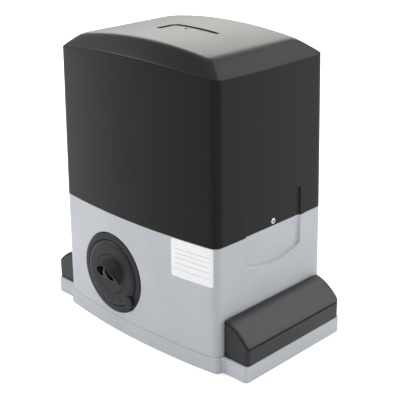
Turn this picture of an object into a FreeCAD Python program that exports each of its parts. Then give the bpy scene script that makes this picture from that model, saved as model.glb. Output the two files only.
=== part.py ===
import FreeCAD, Part
import math
import os
import Sketcher
from FreeCAD import Placement, Rotation, Vector

# Sliding gate motor: a grey base with two bolted feet, a tall black cover, a worm gearbox under
# an upright motor, and a manual release on the front.
# +X runs along the gate, the release faces -Y, the pinion that drives the rack faces +Y, +Z is up.
# The origin is the middle of the base's underside. All sizes are in millimetres.

doc = FreeCAD.newDocument("sliding_gate_motor")
sheet = doc.addObject("Spreadsheet::Sheet", "Dim")

SIZES = [
    # the outer form
    ("body_length", 280), ("body_depth", 196), ("split_height", 164.5), ("crease_height", 362.7),
    ("front_bulge", 11), ("back_bulge", 2), ("side_bulge", 1), ("corner_radius", 10),
    ("base_draft", 0.49), ("cover_draft", 0.87), ("base_wall", 5), ("base_floor", 6), ("cover_wall", 3),
    ("roof_rise", 19.2), ("front_inset", 23.2), ("back_inset", 29.1), ("side_inset", 25.5), ("side_rise", 19),
    ("bevel_sagitta", 0.8),
    ("crease_arch", 10), ("crown_sagitta", 10.2), ("fit_gap", 0.4), ("lip_thick", 2.6), ("lip_rise", 8),
    ("panel_left", -26), ("panel_right", 51), ("panel_front", -31), ("panel_back", 2.5), ("panel_sunk", 1.3),
    # feet and bolt covers
    ("foot_length", 362.5), ("foot_depth", 182), ("foot_thick", 21.5), ("foot_corner", 5), ("band_proud", 0.3),
    ("bolt_x", 163), ("bolt_y", 65), ("bolt_slot_long", 20), ("bolt_slot_wide", 11),
    ("lid_half", 88.3), ("lid_inner_x", 142.6), ("lid_outer_x", 179), ("lid_crease_z", 45.5), ("lid_top_z", 69.5),
    ("lid_wall", 2.5), ("lid_corner", 5), ("clip_y", 35), ("clip_wide", 12), ("clip_deep", 14),
    # the recess and the clamp screw in each side
    ("recess_y", 3.7), ("recess_wide", 100), ("recess_top_z", 206), ("recess_bottom_z", 115.2),
    ("recess_drop", 4.8), ("recess_rise", 11), ("recess_deep", 5.8), ("recess_wall", 6.5),
    ("screw_z", 170.4), ("screw_radius", 2.5), ("screw_head_radius", 4.7), ("screw_head_high", 3),
    # the manual release
    ("axle_x", -38), ("axle_z", 81), ("bezel_radius", 54.3), ("bezel_front", 108.6), ("plate_front", 112),
    ("plate_radius", 42.5), ("hub_radius", 26.5), ("grip_base_radius", 20.5), ("grip_rim_radius", 16.5),
    ("grip_rise", 13), ("grip_wall", 1.8), ("grip_foot", 8.5), ("grip_web", 2.6),
    ("lock_x", -5.2), ("lock_z", 51.6), ("lock_radius", 5.4), ("flap_pin_radius", 1), ("flap_pin_rise", 6.65),
    # the gear train
    ("wheel_y", 42), ("wheel_teeth", 32), ("wheel_module", 2.5), ("wheel_wide", 16), ("worm_pitch_radius", 10),
    ("worm_turns", 4), ("pinion_teeth", 16), ("pinion_module", 4), ("pinion_wide", 28), ("pinion_y", 104),
    ("shaft_radius", 12.5), ("seat_radius", 12), ("run_gap", 0.05),
    # the motor
    ("motor_radius", 50), ("motor_wall", 4), ("motor_bottom", 148), ("motor_top", 290), ("core_radius", 29.5),
    ("spindle_radius", 6), ("core_bottom", 175), ("core_top", 265),
    # what serves the motor
    ("cable_x", 46), ("cable_y", -52), ("cable_radius", 16), ("board_y", -47),
]
for row, (alias, number) in enumerate(SIZES, start=1):
    sheet.set(f"A{row}", alias)
    sheet.set(f"B{row}", str(number))
    sheet.setAlias(f"B{row}", alias)
doc.recompute()

# placed axes: the primitives' own +Z is turned to the axis named here
TURN = {
    "z": Rotation(),
    "y": Rotation(Vector(1, 0, 0), -90),
    "x": Rotation(Vector(0, 1, 0), 90),
}
nodes = []


def number(expression):
    """The value of an expression of the sheet's cells."""
    return float(sheet.evalExpression(expression))


def bind(item, **expressions):
    """Tie properties of an object to expressions of the sheet's cells."""
    for name, expression in expressions.items():
        item.setExpression(name, str(expression))
    return item


def place(item, x=0, y=0, z=0, turn=Rotation()):
    """Put an object at expressions of the sheet's cells."""
    item.Placement = Placement(Vector(), turn)
    for letter, expression in zip("xyz", (x, y, z)):
        item.setExpression(f"Placement.Base.{letter}", str(expression))
    return item


def keep(label, item):
    """Name a finished sub-part, so that it is checked and written."""
    item.Label = label
    nodes.append(item)
    return item


def block(name, low, high):
    """A box from its lowest to its highest corner, each three expressions."""
    item = doc.addObject("Part::Box", name)
    sides = [f"({b}) - ({a})" for a, b in zip(low, high)]
    bind(item, Length=sides[0], Width=sides[1], Height=sides[2])
    return place(item, *low)


def rod(name, radius, length, at, axis="z"):
    """A cylinder that starts at a point and runs along a positive axis."""
    item = doc.addObject("Part::Cylinder", name)
    bind(item, Radius=radius, Height=length)
    return place(item, *at, turn=TURN[axis])


def cone(name, radius, end_radius, length, at, axis="z"):
    """A cone or taper that starts at a point and runs along a positive axis."""
    item = doc.addObject("Part::Cone", name)
    bind(item, Radius1=radius, Radius2=end_radius, Height=length)
    return place(item, *at, turn=TURN[axis])


def join(name, *pieces):
    item = doc.addObject("Part::MultiFuse", name)
    item.Shapes = list(pieces)
    return item


def group(name, *pieces):
    """Separate solids of one node, side by side."""
    item = doc.addObject("Part::Compound", name)
    item.Links = list(pieces)
    return item


def cut(name, base, *tools):
    item = doc.addObject("Part::Cut", name)
    item.Base = base
    item.Tool = tools[0] if len(tools) == 1 else join(f"{name}_tools", *tools)
    return item


def common(name, first, second):
    item = doc.addObject("Part::Common", name)
    item.Base = first
    item.Tool = second
    return item


def tube(name, outer, inner, length, at, axis="z"):
    """A ring whose bore runs right through."""
    wall = rod(f"{name}_outside", outer, length, at, axis)
    bore = rod(f"{name}_inside", inner, length, at, axis)
    return cut(name, wall, bore)


def origin_plane(body, role):
    return next(part for part in body.Origin.OriginFeatures if part.Role == role)


def sketch(body, name, role, offset=0, turn=0):
    """A sketch on one of the body's own planes, moved along the plane's normal."""
    item = body.newObject("Sketcher::SketchObject", name)
    item.AttachmentSupport = [(origin_plane(body, role), "")]
    item.MapMode = "FlatFace"
    item.AttachmentOffset = Placement(Vector(), Rotation(Vector(0, 0, 1), turn))
    item.setExpression("AttachmentOffset.Base.z", str(offset))
    return item


def fix_point(item, edge, end, x, y):
    """Tie one end of an edge to its place in the sketch."""
    for kind, axis, expression in (("DistanceX", -2, x), ("DistanceY", -1, y)):
        value = number(str(expression))
        if abs(value) < 1e-9:
            item.addConstraint(Sketcher.Constraint("PointOnObject", edge, end, axis))
        else:
            index = item.addConstraint(Sketcher.Constraint(kind, -1, 1, edge, end, value))
            item.setExpression(f"Constraints[{index}]", str(expression))


def outline(item, corners):
    """Draw a closed outline through corners. Each is x, y and, where the edge that leaves it
    bows, the sagitta of its arc, positive to the right of the way that the outline runs."""
    count = len(corners)
    points = [Vector(number(str(c[0])), number(str(c[1])), 0) for c in corners]
    first = item.GeometryCount
    for i, corner in enumerate(corners):
        start, end = points[i], points[(i + 1) % count]
        if len(corner) == 2:
            item.addGeometry(Part.LineSegment(start, end), False)
            continue
        along = (end - start).normalize()
        middle = (start + end) * 0.5 + Vector(along.y, -along.x, 0) * number(str(corner[2]))
        item.addGeometry(Part.Arc(start, middle, end), False)
    for i, corner in enumerate(corners):
        arc = len(corner) == 3
        bows_left = arc and number(str(corner[2])) < 0
        start_end = 2 if bows_left else 1
        after = (i + 1) % count
        after_arc = len(corners[after]) == 3
        after_left = after_arc and number(str(corners[after][2])) < 0
        item.addConstraint(Sketcher.Constraint("Coincident", first + i, 3 - start_end,
                                               first + after, 2 if after_left else 1))
        fix_point(item, first + i, start_end, corner[0], corner[1])
        if arc:
            chord = (points[after] - points[i]).Length
            sagitta = f"abs({corner[2]})"
            index = item.addConstraint(Sketcher.Constraint(
                "Radius", first + i, item.Geometry[first + i].Radius))
            item.setExpression(f"Constraints[{index}]", f"({chord * chord / 4} + {sagitta}^2) / (2 * {sagitta})")
    return item


def body_of(name):
    return doc.addObject("PartDesign::Body", name)


def feature(body, kind, name, **properties):
    item = body.newObject(f"PartDesign::{kind}", name)
    for key, value in properties.items():
        setattr(item, key, value)
    return item


# --- the moulded form that the base and the cover share -------------------------------------------

def plan(body, name, height, inset, draft, corner_radius):
    """The plan at one height: four sides that bow outwards, and four rounded corners."""
    item = sketch(body, name, "XY_Plane", offset=height)
    half_x = f"(Dim.body_length / 2 - ({inset}) - (({height}) - Dim.split_height) * tan({draft}))"
    half_y = f"(Dim.body_depth / 2 - ({inset}) - (({height}) - Dim.split_height) * tan({draft}))"
    turn = f"({corner_radius} - ({inset}))"
    flat_x, flat_y = f"({half_x} - {turn})", f"({half_y} - {turn})"
    # how far each side's bow has come back where its corner starts
    bow_x, bow_y = f"({flat_x} / {half_x})^2", f"({flat_y} / {half_y})^2"
    front = f"({half_y} + Dim.front_bulge * (1 - {bow_x}))"
    back = f"({half_y} + Dim.back_bulge * (1 - {bow_x}))"
    side = f"({half_x} + Dim.side_bulge * (1 - {bow_y}))"
    corner = f"{turn} * 0.31"
    return outline(item, [
        (f"-{flat_x}", f"-{front}", f"Dim.front_bulge * {bow_x}"),
        (flat_x, f"-{front}", corner),
        (side, f"-{flat_y}", f"Dim.side_bulge * {bow_y}"),
        (side, flat_y, corner),
        (flat_x, back, f"Dim.back_bulge * {bow_x}"),
        (f"-{flat_x}", back, corner),
        (f"-{side}", flat_y, f"Dim.side_bulge * {bow_y}"),
        (f"-{side}", f"-{flat_y}", corner),
    ])


def drafted_form(name, bottom, top, inset, draft, corner_radius="Dim.corner_radius"):
    """The bowed block between two heights."""
    body = body_of(name)
    lower = plan(body, f"{name}_lower", bottom, inset, draft, corner_radius)
    upper = plan(body, f"{name}_upper", top, inset, draft, corner_radius)
    feature(body, "AdditiveLoft", f"{name}_loft", Profile=lower, Sections=[upper], Ruled=True)
    return body


def roof_form(name, inset):
    """The cover's block under its roof: a crown along X, and a bowed bevel on all four sides."""
    body = drafted_form(name, "Dim.split_height - 20", "Dim.crease_height + 50", inset, "Dim.cover_draft")
    half_x = f"(Dim.body_length / 2 - ({inset}) - (Dim.crease_height - Dim.split_height) * tan(Dim.cover_draft))"
    ridge = f"(Dim.crease_height + Dim.crease_arch + Dim.roof_rise - ({inset}))"
    # across the gate's line: side bevels and the crown in one pocket, right through from front to back
    side = sketch(body, f"{name}_side_profile", "XZ_Plane")
    crease = f"Dim.crease_height - ({inset}) * 0.7"
    rim = f"{crease} + Dim.side_rise"
    outline(side, [
        (f"-{half_x} - 20", crease),
        (f"-{half_x}", crease, "Dim.bevel_sagitta * -1"),
        (f"-{half_x} + Dim.side_inset", rim, "Dim.crown_sagitta * -1"),
        (f"{half_x} - Dim.side_inset", rim, "Dim.bevel_sagitta * -1"),
        (half_x, crease),
        (f"{half_x} + 20", crease),
        (f"{half_x} + 20", "Dim.crease_height + 90"),
        (f"-{half_x} - 20", "Dim.crease_height + 90"),
    ])
    feature(body, "Pocket", f"{name}_crown", Profile=side, Type="ThroughAll", Midplane=True)
    # front and back bevels turn about tilted axes, so that each crease follows both arch and bow
    for end, sign, bulge, deep in (("front", -1, "Dim.front_bulge", "Dim.front_inset"),
                                   ("back", 1, "Dim.back_bulge", "Dim.back_inset")):
        across = sketch(body, f"{name}_{end}_profile", "YZ_Plane")
        edge_y = (f"(Dim.body_depth / 2 + {bulge} - ({inset})"
                  " - (Dim.crease_height + Dim.crease_arch - Dim.split_height) * tan(Dim.cover_draft))")
        high = f"(Dim.crease_height + Dim.crease_arch - ({inset}) * 0.7)"
        corners = [
            (f"{sign} * {edge_y}", high, f"{sign} * Dim.bevel_sagitta"),
            (f"{sign} * ({edge_y} - {deep})", f"{ridge}"),
            (f"{sign} * ({edge_y} - {deep})", f"{ridge} + 40"),
            (f"{sign} * ({edge_y} + 30)", f"{ridge} + 40"),
            (f"{sign} * ({edge_y} + 30)", high),
        ]
        outline(across, corners)
        swing = f"sqrt({bulge}^2 + Dim.crease_arch^2)"
        reach = f"(({half_x}^2 + {swing}^2) / (2 * {swing}))"
        centre_y = number(f"{sign} * {edge_y} - {sign} * {bulge} / {swing} * {reach}")
        centre_z = number(f"{high} - Dim.crease_arch / {swing} * {reach}")
        along_y, along_z = number("Dim.crease_arch"), number(f"{-sign} * {bulge}")
        axis = across.addGeometry(Part.LineSegment(
            Vector(centre_y - along_y, centre_z - along_z, 0),
            Vector(centre_y + along_y, centre_z + along_z, 0)), True)
        fix_point(across, axis, 1, centre_y - along_y, centre_z - along_z)
        fix_point(across, axis, 2, centre_y + along_y, centre_z + along_z)
        feature(body, "Groove", f"{name}_{end}_bevel", Profile=across, Angle=40, Midplane=True,
                ReferenceAxis=(across, ["Axis0"]))
    doc.recompute()
    return body


# --- the recess and the clamp in each side -----------------------------------------------------------

def recess_block(name, side, depth, grow):
    """A block as wide as the recess in a side, with arched ends, sunk to a depth from the side's skin."""
    body = body_of(name)
    face = sketch(body, f"{name}_face", "YZ_Plane")
    half = f"(Dim.recess_wide / 2 + ({grow}))"
    top = f"(Dim.recess_top_z + ({grow}) - Dim.recess_drop)"
    bottom = f"(Dim.recess_bottom_z - ({grow}) + Dim.recess_rise)"
    outline(face, [
        (f"Dim.recess_y - {half}", bottom, "Dim.recess_rise"),
        (f"Dim.recess_y + {half}", bottom),
        (f"Dim.recess_y + {half}", top, "Dim.recess_drop"),
        (f"Dim.recess_y - {half}", top),
    ])
    block_pad = feature(body, "Pad", f"{name}_pad", Profile=face)
    bind(block_pad, Length="30")
    reach = f"Dim.body_length / 2 + Dim.side_bulge - ({depth})"
    return place(body, reach if side > 0 else f"-({reach}) - 30")


# --- cover -------------------------------------------------------------------------------------------

def cover_shell():
    """One moulding: drafted walls under a crowned roof, with a shallow panel in the roof."""
    skin = roof_form("cover_skin", "0")
    core = roof_form("cover_core", "Dim.cover_wall")
    sunk = roof_form("cover_panel_floor", "Dim.panel_sunk")
    panel = block("cover_panel_area", ("Dim.panel_left", "Dim.panel_front", "Dim.crease_height"),
                  ("Dim.panel_right", "Dim.panel_back", "Dim.crease_height + 60"))
    panel_recess = cut("cover_panel", panel, sunk)
    backs = [recess_block(f"cover_recess_back_{side}", side, "Dim.recess_deep + Dim.cover_wall", "Dim.cover_wall")
             for side in (1, -1)]
    hollow = cut("cover_hollow", core, *backs)
    recesses = [recess_block(f"cover_recess_{side}", side, "Dim.recess_deep", "0") for side in (1, -1)]
    below = block("below_split", ("-200", "-150", "0"), ("200", "150", "Dim.split_height + 0.3"))
    holes = rod("cover_screw_holes", "Dim.screw_radius + 0.4", "400", ("-200", "Dim.recess_y", "Dim.screw_z"), "x")
    return cut("cover_moulding", skin, hollow, panel_recess, *recesses, below, holes)


keep("cover_shell", cover_shell())


def clamp_screws():
    """Pan head screws that hold the cover, one in each recess, captive on it."""
    skin = "(Dim.body_length / 2 + Dim.side_bulge - Dim.recess_deep + 0.1)"
    pieces = []
    for side, label in ((1, "right"), (-1, "left")):
        head_x = skin if side > 0 else f"-{skin} - Dim.screw_head_high"
        head = rod(f"{label}_screw_head", "Dim.screw_head_radius", "Dim.screw_head_high",
                   (head_x, "Dim.recess_y", "Dim.screw_z"), "x")
        shank_x = f"{skin} - 16" if side > 0 else f"-{skin}"
        shank = rod(f"{label}_screw_shank", "Dim.screw_radius", "16", (shank_x, "Dim.recess_y", "Dim.screw_z"), "x")
        slot_x = f"{skin} + Dim.screw_head_high - 1.4" if side > 0 else f"-{skin} - Dim.screw_head_high"
        slots = [
            block(f"{label}_drive_{way}",
                  (slot_x, f"Dim.recess_y - {wide}", f"Dim.screw_z - {high}"),
                  (f"{slot_x} + 1.4", f"Dim.recess_y + {wide}", f"Dim.screw_z + {high}"))
            for way, wide, high in (("across", 2.4, 0.5), ("upright", 0.5, 2.4))
        ]
        pieces.append(cut(f"{label}_clamp_screw", join(f"{label}_screw_blank", head, shank), *slots))
    return group("clamp_screw_pair", *pieces)


keep("cover_screws", clamp_screws())


def clamp_nuts():
    """Square nuts behind the base's clamp tabs, on the cover's screws."""
    pieces = []
    for side, label in ((1, "right"), (-1, "left")):
        near = "122" if side > 0 else "-126.4"
        plate = block(f"{label}_nut_plate", (near, "Dim.recess_y - 5", "Dim.screw_z - 5"),
                      (f"{near} + 4.4", "Dim.recess_y + 5", "Dim.screw_z + 5"))
        thread = rod(f"{label}_nut_thread", "Dim.screw_radius", "6", (f"{near} - 0.5", "Dim.recess_y", "Dim.screw_z"), "x")
        pieces.append(cut(f"{label}_nut", plate, thread))
    return group("clamp_nut_pair", *pieces)


keep("cover_clamp_nuts", clamp_nuts())


# --- base --------------------------------------------------------------------------------------------

def foot_plate():
    """The slab whose two ends stand out of the base as feet."""
    body = body_of("foot_plate")
    face = sketch(body, "foot_outline", "XY_Plane")
    far_x, far_y, turn = "(Dim.foot_length / 2)", "(Dim.foot_depth / 2)", "Dim.foot_corner"
    near_x, near_y = f"({far_x} - {turn})", f"({far_y} - {turn})"
    corner = f"{turn} * 0.2929"
    outline(face, [
        (f"-{near_x}", f"-{far_y}"), (near_x, f"-{far_y}", corner),
        (far_x, f"-{near_y}"), (far_x, near_y, corner),
        (near_x, far_y), (f"-{near_x}", far_y, corner),
        (f"-{far_x}", near_y), (f"-{far_x}", f"-{near_y}", corner),
    ])
    bind(feature(body, "Pad", "foot_slab", Profile=face), Length="Dim.foot_thick")
    return body


def slot_cutter(name, x, y):
    """A slot along X through a foot, for a foundation bolt."""
    half = "(Dim.bolt_slot_long - Dim.bolt_slot_wide) / 2"
    radius = "Dim.bolt_slot_wide / 2"
    height = "Dim.foot_thick + 2"
    ends = [rod(f"{name}_end_{way}", radius, height, (f"{x} + ({way}) * {half}", y, "-1")) for way in (-1, 1)]
    middle = block(f"{name}_middle", (f"{x} - {half}", f"{y} - {radius}", "-1"),
                   (f"{x} + {half}", f"{y} + {radius}", f"{height} - 1"))
    return join(name, middle, *ends)


def base_housing():
    """The lower moulding: feet, walls with a lip inside the cover, and the seats for what it carries."""
    walls = drafted_form("base_skin", "0", "Dim.split_height", "0", "Dim.base_draft")
    band = drafted_form("base_band", "0", "Dim.foot_thick", "-Dim.band_proud", "Dim.base_draft", "Dim.foot_corner")
    lip_inset = "Dim.cover_wall + Dim.fit_gap"
    lip_skin = drafted_form("base_lip_skin", "Dim.split_height - 6", "Dim.split_height + Dim.lip_rise",
                            lip_inset, "Dim.cover_draft")
    core = drafted_form("base_core", "Dim.base_floor", "Dim.split_height - 6", "Dim.base_wall", "Dim.base_draft")
    lip_core = drafted_form("base_lip_core", "Dim.split_height - 6.5", "Dim.split_height + Dim.lip_rise + 1",
                            f"{lip_inset} + Dim.lip_thick", "Dim.cover_draft")
    wheel_back = rod("wheel_pocket_back", "Dim.bezel_radius + 4.5", "13", ("Dim.axle_x", "-110", "Dim.axle_z"), "y")
    backs = [recess_block(f"base_recess_back_{side}", side, "Dim.recess_deep + Dim.recess_wall", "Dim.base_wall")
             for side in (1, -1)]
    over_lip = block("over_clamp", ("-200", "-200", "Dim.split_height"), ("200", "200", "Dim.split_height + 60"))
    low_backs = cut("clamp_backs", join("clamp_back_pair", *backs), over_lip)
    hollow = cut("base_hollow", join("base_hollows", core, lip_core), wheel_back, low_backs)
    # the lip stops either side of each clamp, where the cover's own recess comes inwards
    gaps = [block(f"lip_gap_{label}", (low, "Dim.recess_y - Dim.recess_wide / 2 - 7", "Dim.split_height"),
                  (high, "Dim.recess_y + Dim.recess_wide / 2 + 7", "Dim.split_height + 40"))
            for label, low, high in (("right", "110", "150"), ("left", "-150", "-110"))]
    lip = cut("base_lip", lip_skin, *gaps)
    tabs = []
    for label, near in (("right", "128.5"), ("left", "-131.1")):
        plate = block(f"{label}_tab_plate", (near, "Dim.recess_y - 14", "Dim.split_height - 20"),
                      (f"{near} + 2.6", "Dim.recess_y + 14", "Dim.screw_z + 12"))
        tabs.append(plate)
    slots = [block(f"tab_slot_{label}", (low, "Dim.recess_y - 3", "Dim.screw_z - 3.2"),
                   (high, "Dim.recess_y + 3", "Dim.screw_z + 20"))
             for label, low, high in (("right", "118", "133"), ("left", "-133", "-118"))]
    recesses = [recess_block(f"base_recess_{side}", side, "Dim.recess_deep", "0") for side in (1, -1)]
    over_split = block("over_split_recess", ("-200", "-200", "Dim.split_height + 0.01"), ("200", "200", "400"))
    low_recesses = cut("base_recess_cut", join("base_recess_pair", *recesses), over_split)
    pocket = rod("wheel_pocket", "Dim.bezel_radius + 0.9", "20", ("Dim.axle_x", "-121.2", "Dim.axle_z"), "y")
    spindle_way = rod("spindle_way", "30", "40", ("Dim.axle_x", "-125", "Dim.axle_z"), "y")
    neck_way = rod("neck_way", "27", "30", ("Dim.axle_x", "85", "Dim.axle_z"), "y")
    cable_way = rod("cable_way", "Dim.cable_radius + 4", "20", ("Dim.cable_x", "Dim.cable_y", "-5"))
    lock_way = rod("lock_way", "Dim.lock_radius + 0.5", "30", ("Dim.lock_x", "-125", "Dim.lock_z"), "y")
    bolts = [slot_cutter(f"bolt_slot_{i}", f"({sx}) * Dim.bolt_x", f"({sy}) * Dim.bolt_y")
             for i, (sx, sy) in enumerate(((-1, -1), (1, -1), (1, 1), (-1, 1)))]
    clips = [block(f"clip_slot_{i}", (f"({sx}) * 145.5 - 2", f"({sy}) * Dim.clip_y - Dim.clip_wide / 2 - 0.5", "-1"),
                   (f"({sx}) * 145.5 + 2", f"({sy}) * Dim.clip_y + Dim.clip_wide / 2 + 0.5", "Dim.foot_thick + 1"))
             for i, (sx, sy) in enumerate(((-1, -1), (1, -1), (1, 1), (-1, 1)))]
    solid = join("base_solid", walls, band, foot_plate(), lip)
    shelled = cut("base_shelled", solid, hollow)
    clamped = cut("base_clamped", join("base_tabbed", shelled, *tabs), *slots)
    return cut("base_moulding", clamped, low_recesses, pocket, spindle_way, neck_way, cable_way, lock_way,
               *bolts, *clips)


keep("base_housing", base_housing())


# --- bolt covers -------------------------------------------------------------------------------------

def lid_form(name, inset, side):
    """The wedge over a foot: an upright outer face, then a bowed slope up to the housing."""
    body = body_of(name)
    face = sketch(body, f"{name}_profile", "XZ_Plane")
    wall_x = f"(Dim.lid_inner_x + ({inset}))"
    outer = f"(Dim.lid_outer_x - ({inset}))"
    floor = "(Dim.foot_thick + 0.3)" if inset == "0" else "(Dim.foot_thick - 1)"
    outline(face, [
        (wall_x, floor), (outer, floor), (outer, f"Dim.lid_crease_z - ({inset}) * 0.4", "2.6"),
        (wall_x, f"Dim.lid_top_z - ({inset}) * 1.1"),
    ])
    pad = feature(body, "Pad", f"{name}_pad", Profile=face, Midplane=True)
    bind(pad, Length=f"2 * (Dim.lid_half - ({inset}))")
    if inset == "0":
        doc.recompute()
        upright = [f"Edge{i}" for i, edge in enumerate(pad.Shape.Edges, start=1)
                   if edge.BoundBox.ZLength > 15 and edge.BoundBox.XLength < 0.1 and edge.BoundBox.XMin > 160]
        rounded = feature(body, "Fillet", f"{name}_rounded", Base=(pad, upright))
        bind(rounded, Radius="Dim.lid_corner")
    if side < 0:
        place(body, turn=Rotation(Vector(0, 0, 1), 180))
    return body


def bolt_cover(label, side):
    """A hollow cover over the foundation bolts, held by two clips that reach into the foot."""
    skin = lid_form(f"{label}_lid_skin", "0", side)
    core = lid_form(f"{label}_lid_core", "Dim.lid_wall", side)
    shell = cut(f"{label}_lid_shell", skin, core)
    clips = [block(f"{label}_lid_clip_{way}",
                   (f"({side}) * 145.5 - 1.2", f"({way}) * Dim.clip_y - Dim.clip_wide / 2",
                    "Dim.foot_thick - Dim.clip_deep"),
                   (f"({side}) * 145.5 + 1.2", f"({way}) * Dim.clip_y + Dim.clip_wide / 2", "50"))
             for way in (-1, 1)]
    return join(f"{label}_lid", shell, *clips)


keep("right_bolt_cover", bolt_cover("right", 1))
keep("left_bolt_cover", bolt_cover("left", -1))


# --- what sits on the front: the label and the manual release ------------------------------------------

def turned(name, profile, x="Dim.axle_x", z="Dim.axle_z"):
    """A piece turned about an axis that runs along Y. The profile is radius and distance behind y = 0."""
    body = body_of(name)
    face = sketch(body, f"{name}_profile", "XZ_Plane")
    outline(face, profile)
    feature(body, "Revolution", f"{name}_turned", Profile=face, Angle=360,
            ReferenceAxis=(face, ["V_Axis"]))
    return place(body, x, 0, z, TURN["y"])


def rating_label():
    """A thin bare sheet that follows the bow of the front wall."""
    proud = drafted_form("label_skin", "100", "Dim.split_height", "-0.35", "Dim.base_draft")
    wall = drafted_form("label_wall", "100", "Dim.split_height", "0", "Dim.base_draft")
    sheet_area = block("label_area", ("72.5", "-125", "114.8"), ("135", "-60", "Dim.split_height - 0.5"))
    return common("label_sheet", cut("label_layer", proud, wall), sheet_area)


keep("rating_label", rating_label())

flap_x, flap_z = "Dim.lock_x", "(Dim.lock_z + Dim.flap_pin_rise)"

keep("release_bezel", cut("bezel_drilled", turned("bezel_ring", [
    (30, "-Dim.bezel_front + 5.6"), (30, "-Dim.bezel_front + 1.6"),
    ("Dim.plate_radius + 0.2", "-Dim.bezel_front + 1.6"), ("Dim.plate_radius + 0.2", "-Dim.bezel_front - 0.6"),
    ("Dim.bezel_radius - 1", "-Dim.bezel_front"), ("Dim.bezel_radius", "-Dim.bezel_front + 0.8"),
    ("Dim.bezel_radius", "-Dim.bezel_front + 7"), ("Dim.bezel_radius - 4", "-Dim.bezel_front + 7"),
    ("Dim.bezel_radius - 4", "-Dim.bezel_front + 5.6"),
]), rod("bezel_lock_way", "Dim.lock_radius", "30", ("Dim.lock_x", "-125", "Dim.lock_z"), "y"),
    rod("bezel_pin_way", "Dim.flap_pin_radius", "30", (flap_x, "-125", flap_z), "y")))

keep("release_plate", cut("plate_drilled", turned("plate_disc", [
    ("Dim.hub_radius + 0.4", "-Dim.bezel_front + 1.6"), ("Dim.hub_radius + 0.4", "-Dim.plate_front"),
    ("Dim.plate_radius - 2", "-Dim.plate_front", -0.6), ("Dim.plate_radius", "-Dim.plate_front + 2"),
    ("Dim.plate_radius", "-Dim.bezel_front + 1.6"),
]), rod("plate_lock_way", "Dim.lock_radius", "30", ("Dim.lock_x", "-125", "Dim.lock_z"), "y"),
    rod("plate_pin_way", "Dim.flap_pin_radius", "30", (flap_x, "-125", flap_z), "y")))

lock_at = ("Dim.lock_x", "-Dim.plate_front + 1.2", "Dim.lock_z")
keep("lock_barrel", cut("lock_barrel_bored",
                        rod("lock_barrel_blank", "Dim.lock_radius", "22", lock_at, "y"),
                        rod("lock_barrel_bore", "4.6", "24", ("Dim.lock_x", "-Dim.plate_front", "Dim.lock_z"), "y")))


def lock_plug():
    """The turning core of the lock, with its key slot."""
    plug = rod("lock_plug_blank", "4.6 - Dim.run_gap", "20",
               ("Dim.lock_x", "-Dim.plate_front + 1.8", "Dim.lock_z"), "y")
    slot = block("key_slot", ("Dim.lock_x - 0.5", "-Dim.plate_front + 1", "Dim.lock_z - 3"),
                 ("Dim.lock_x + 0.5", "-Dim.plate_front + 10", "Dim.lock_z + 3"))
    return cut("lock_plug_slotted", plug, slot)


keep("lock_plug", lock_plug())


def key_cover():
    """A thin round flap over the lock. It swings about a pin near its own edge."""
    lid = rod("flap_lid", "8.2", "1.2", ("Dim.lock_x", "-Dim.plate_front - 1.5", "Dim.lock_z"), "y")
    hole = rod("flap_hole", "Dim.flap_pin_radius + Dim.run_gap", "3", (flap_x, "-Dim.plate_front - 2", flap_z), "y")
    return cut("flap", lid, hole)


keep("key_cover", key_cover())
keep("flap_pin", rod("flap_pin_turned", "Dim.flap_pin_radius", "8", (flap_x, "-Dim.plate_front - 1.7", flap_z), "y"))


def release_knob():
    """A hub disc with a grip: a tapered round wall that is cut away below by a bowed ramp, and
    hollowed into two finger pockets with an upright web between them."""
    hub = rod("knob_hub", "Dim.hub_radius", "7", ("Dim.axle_x", "-Dim.plate_front", "Dim.axle_z"), "y")
    wall = cone("knob_wall", "Dim.grip_rim_radius", "Dim.grip_base_radius", "Dim.grip_rise",
                ("Dim.axle_x", "-Dim.plate_front - Dim.grip_rise", "Dim.axle_z"), "y")
    ramp = body_of("knob_ramp")
    face = sketch(ramp, "knob_ramp_profile", "YZ_Plane")
    outline(face, [
        ("-Dim.plate_front", "Dim.axle_z - 30"), ("-Dim.plate_front", "Dim.axle_z - Dim.grip_foot", "-1.4"),
        ("-Dim.plate_front - Dim.grip_rise", "Dim.axle_z + 9"), ("-Dim.plate_front - 30", "Dim.axle_z + 9"),
        ("-Dim.plate_front - 30", "Dim.axle_z - 30"),
    ])
    bind(feature(ramp, "Pad", "knob_ramp_pad", Profile=face, Midplane=True), Length="60")
    place(ramp, "Dim.axle_x")
    pockets = cone("knob_pocket_cone", "Dim.grip_rim_radius - Dim.grip_wall + 0.4",
                   "Dim.grip_base_radius - Dim.grip_wall - 0.8", "Dim.grip_rise + 5",
                   ("Dim.axle_x", "-Dim.plate_front - Dim.grip_rise - 1", "Dim.axle_z"), "y")
    web = block("knob_web", ("Dim.axle_x - Dim.grip_web / 2", "-140", "Dim.axle_z - 30"),
                ("Dim.axle_x + Dim.grip_web / 2", "-90", "Dim.axle_z + 30"))
    below = block("knob_flush", ("Dim.axle_x - 30", "-140", "Dim.axle_z - 30"),
                  ("Dim.axle_x + 30", "-90", "Dim.axle_z - Dim.grip_foot + Dim.grip_wall"))
    grip = cut("knob_grip", wall, ramp)
    beans = cut("knob_beans", pockets, web, below)
    bore = rod("knob_bore", "5", "12", ("Dim.axle_x", "-Dim.plate_front + 5.6", "Dim.axle_z"), "y")
    return cut("knob_moulding", join("knob_blank", hub, grip), beans, bore)


keep("release_knob", release_knob())
keep("release_spindle", join("spindle_turned",
                             rod("spindle_rod", "5", "92", ("Dim.axle_x", "-Dim.plate_front + 5.6", "Dim.axle_z"), "y"),
                             rod("spindle_collar", "9", "4", ("Dim.axle_x", "-Dim.plate_front + 7.2", "Dim.axle_z"), "y")))

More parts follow.
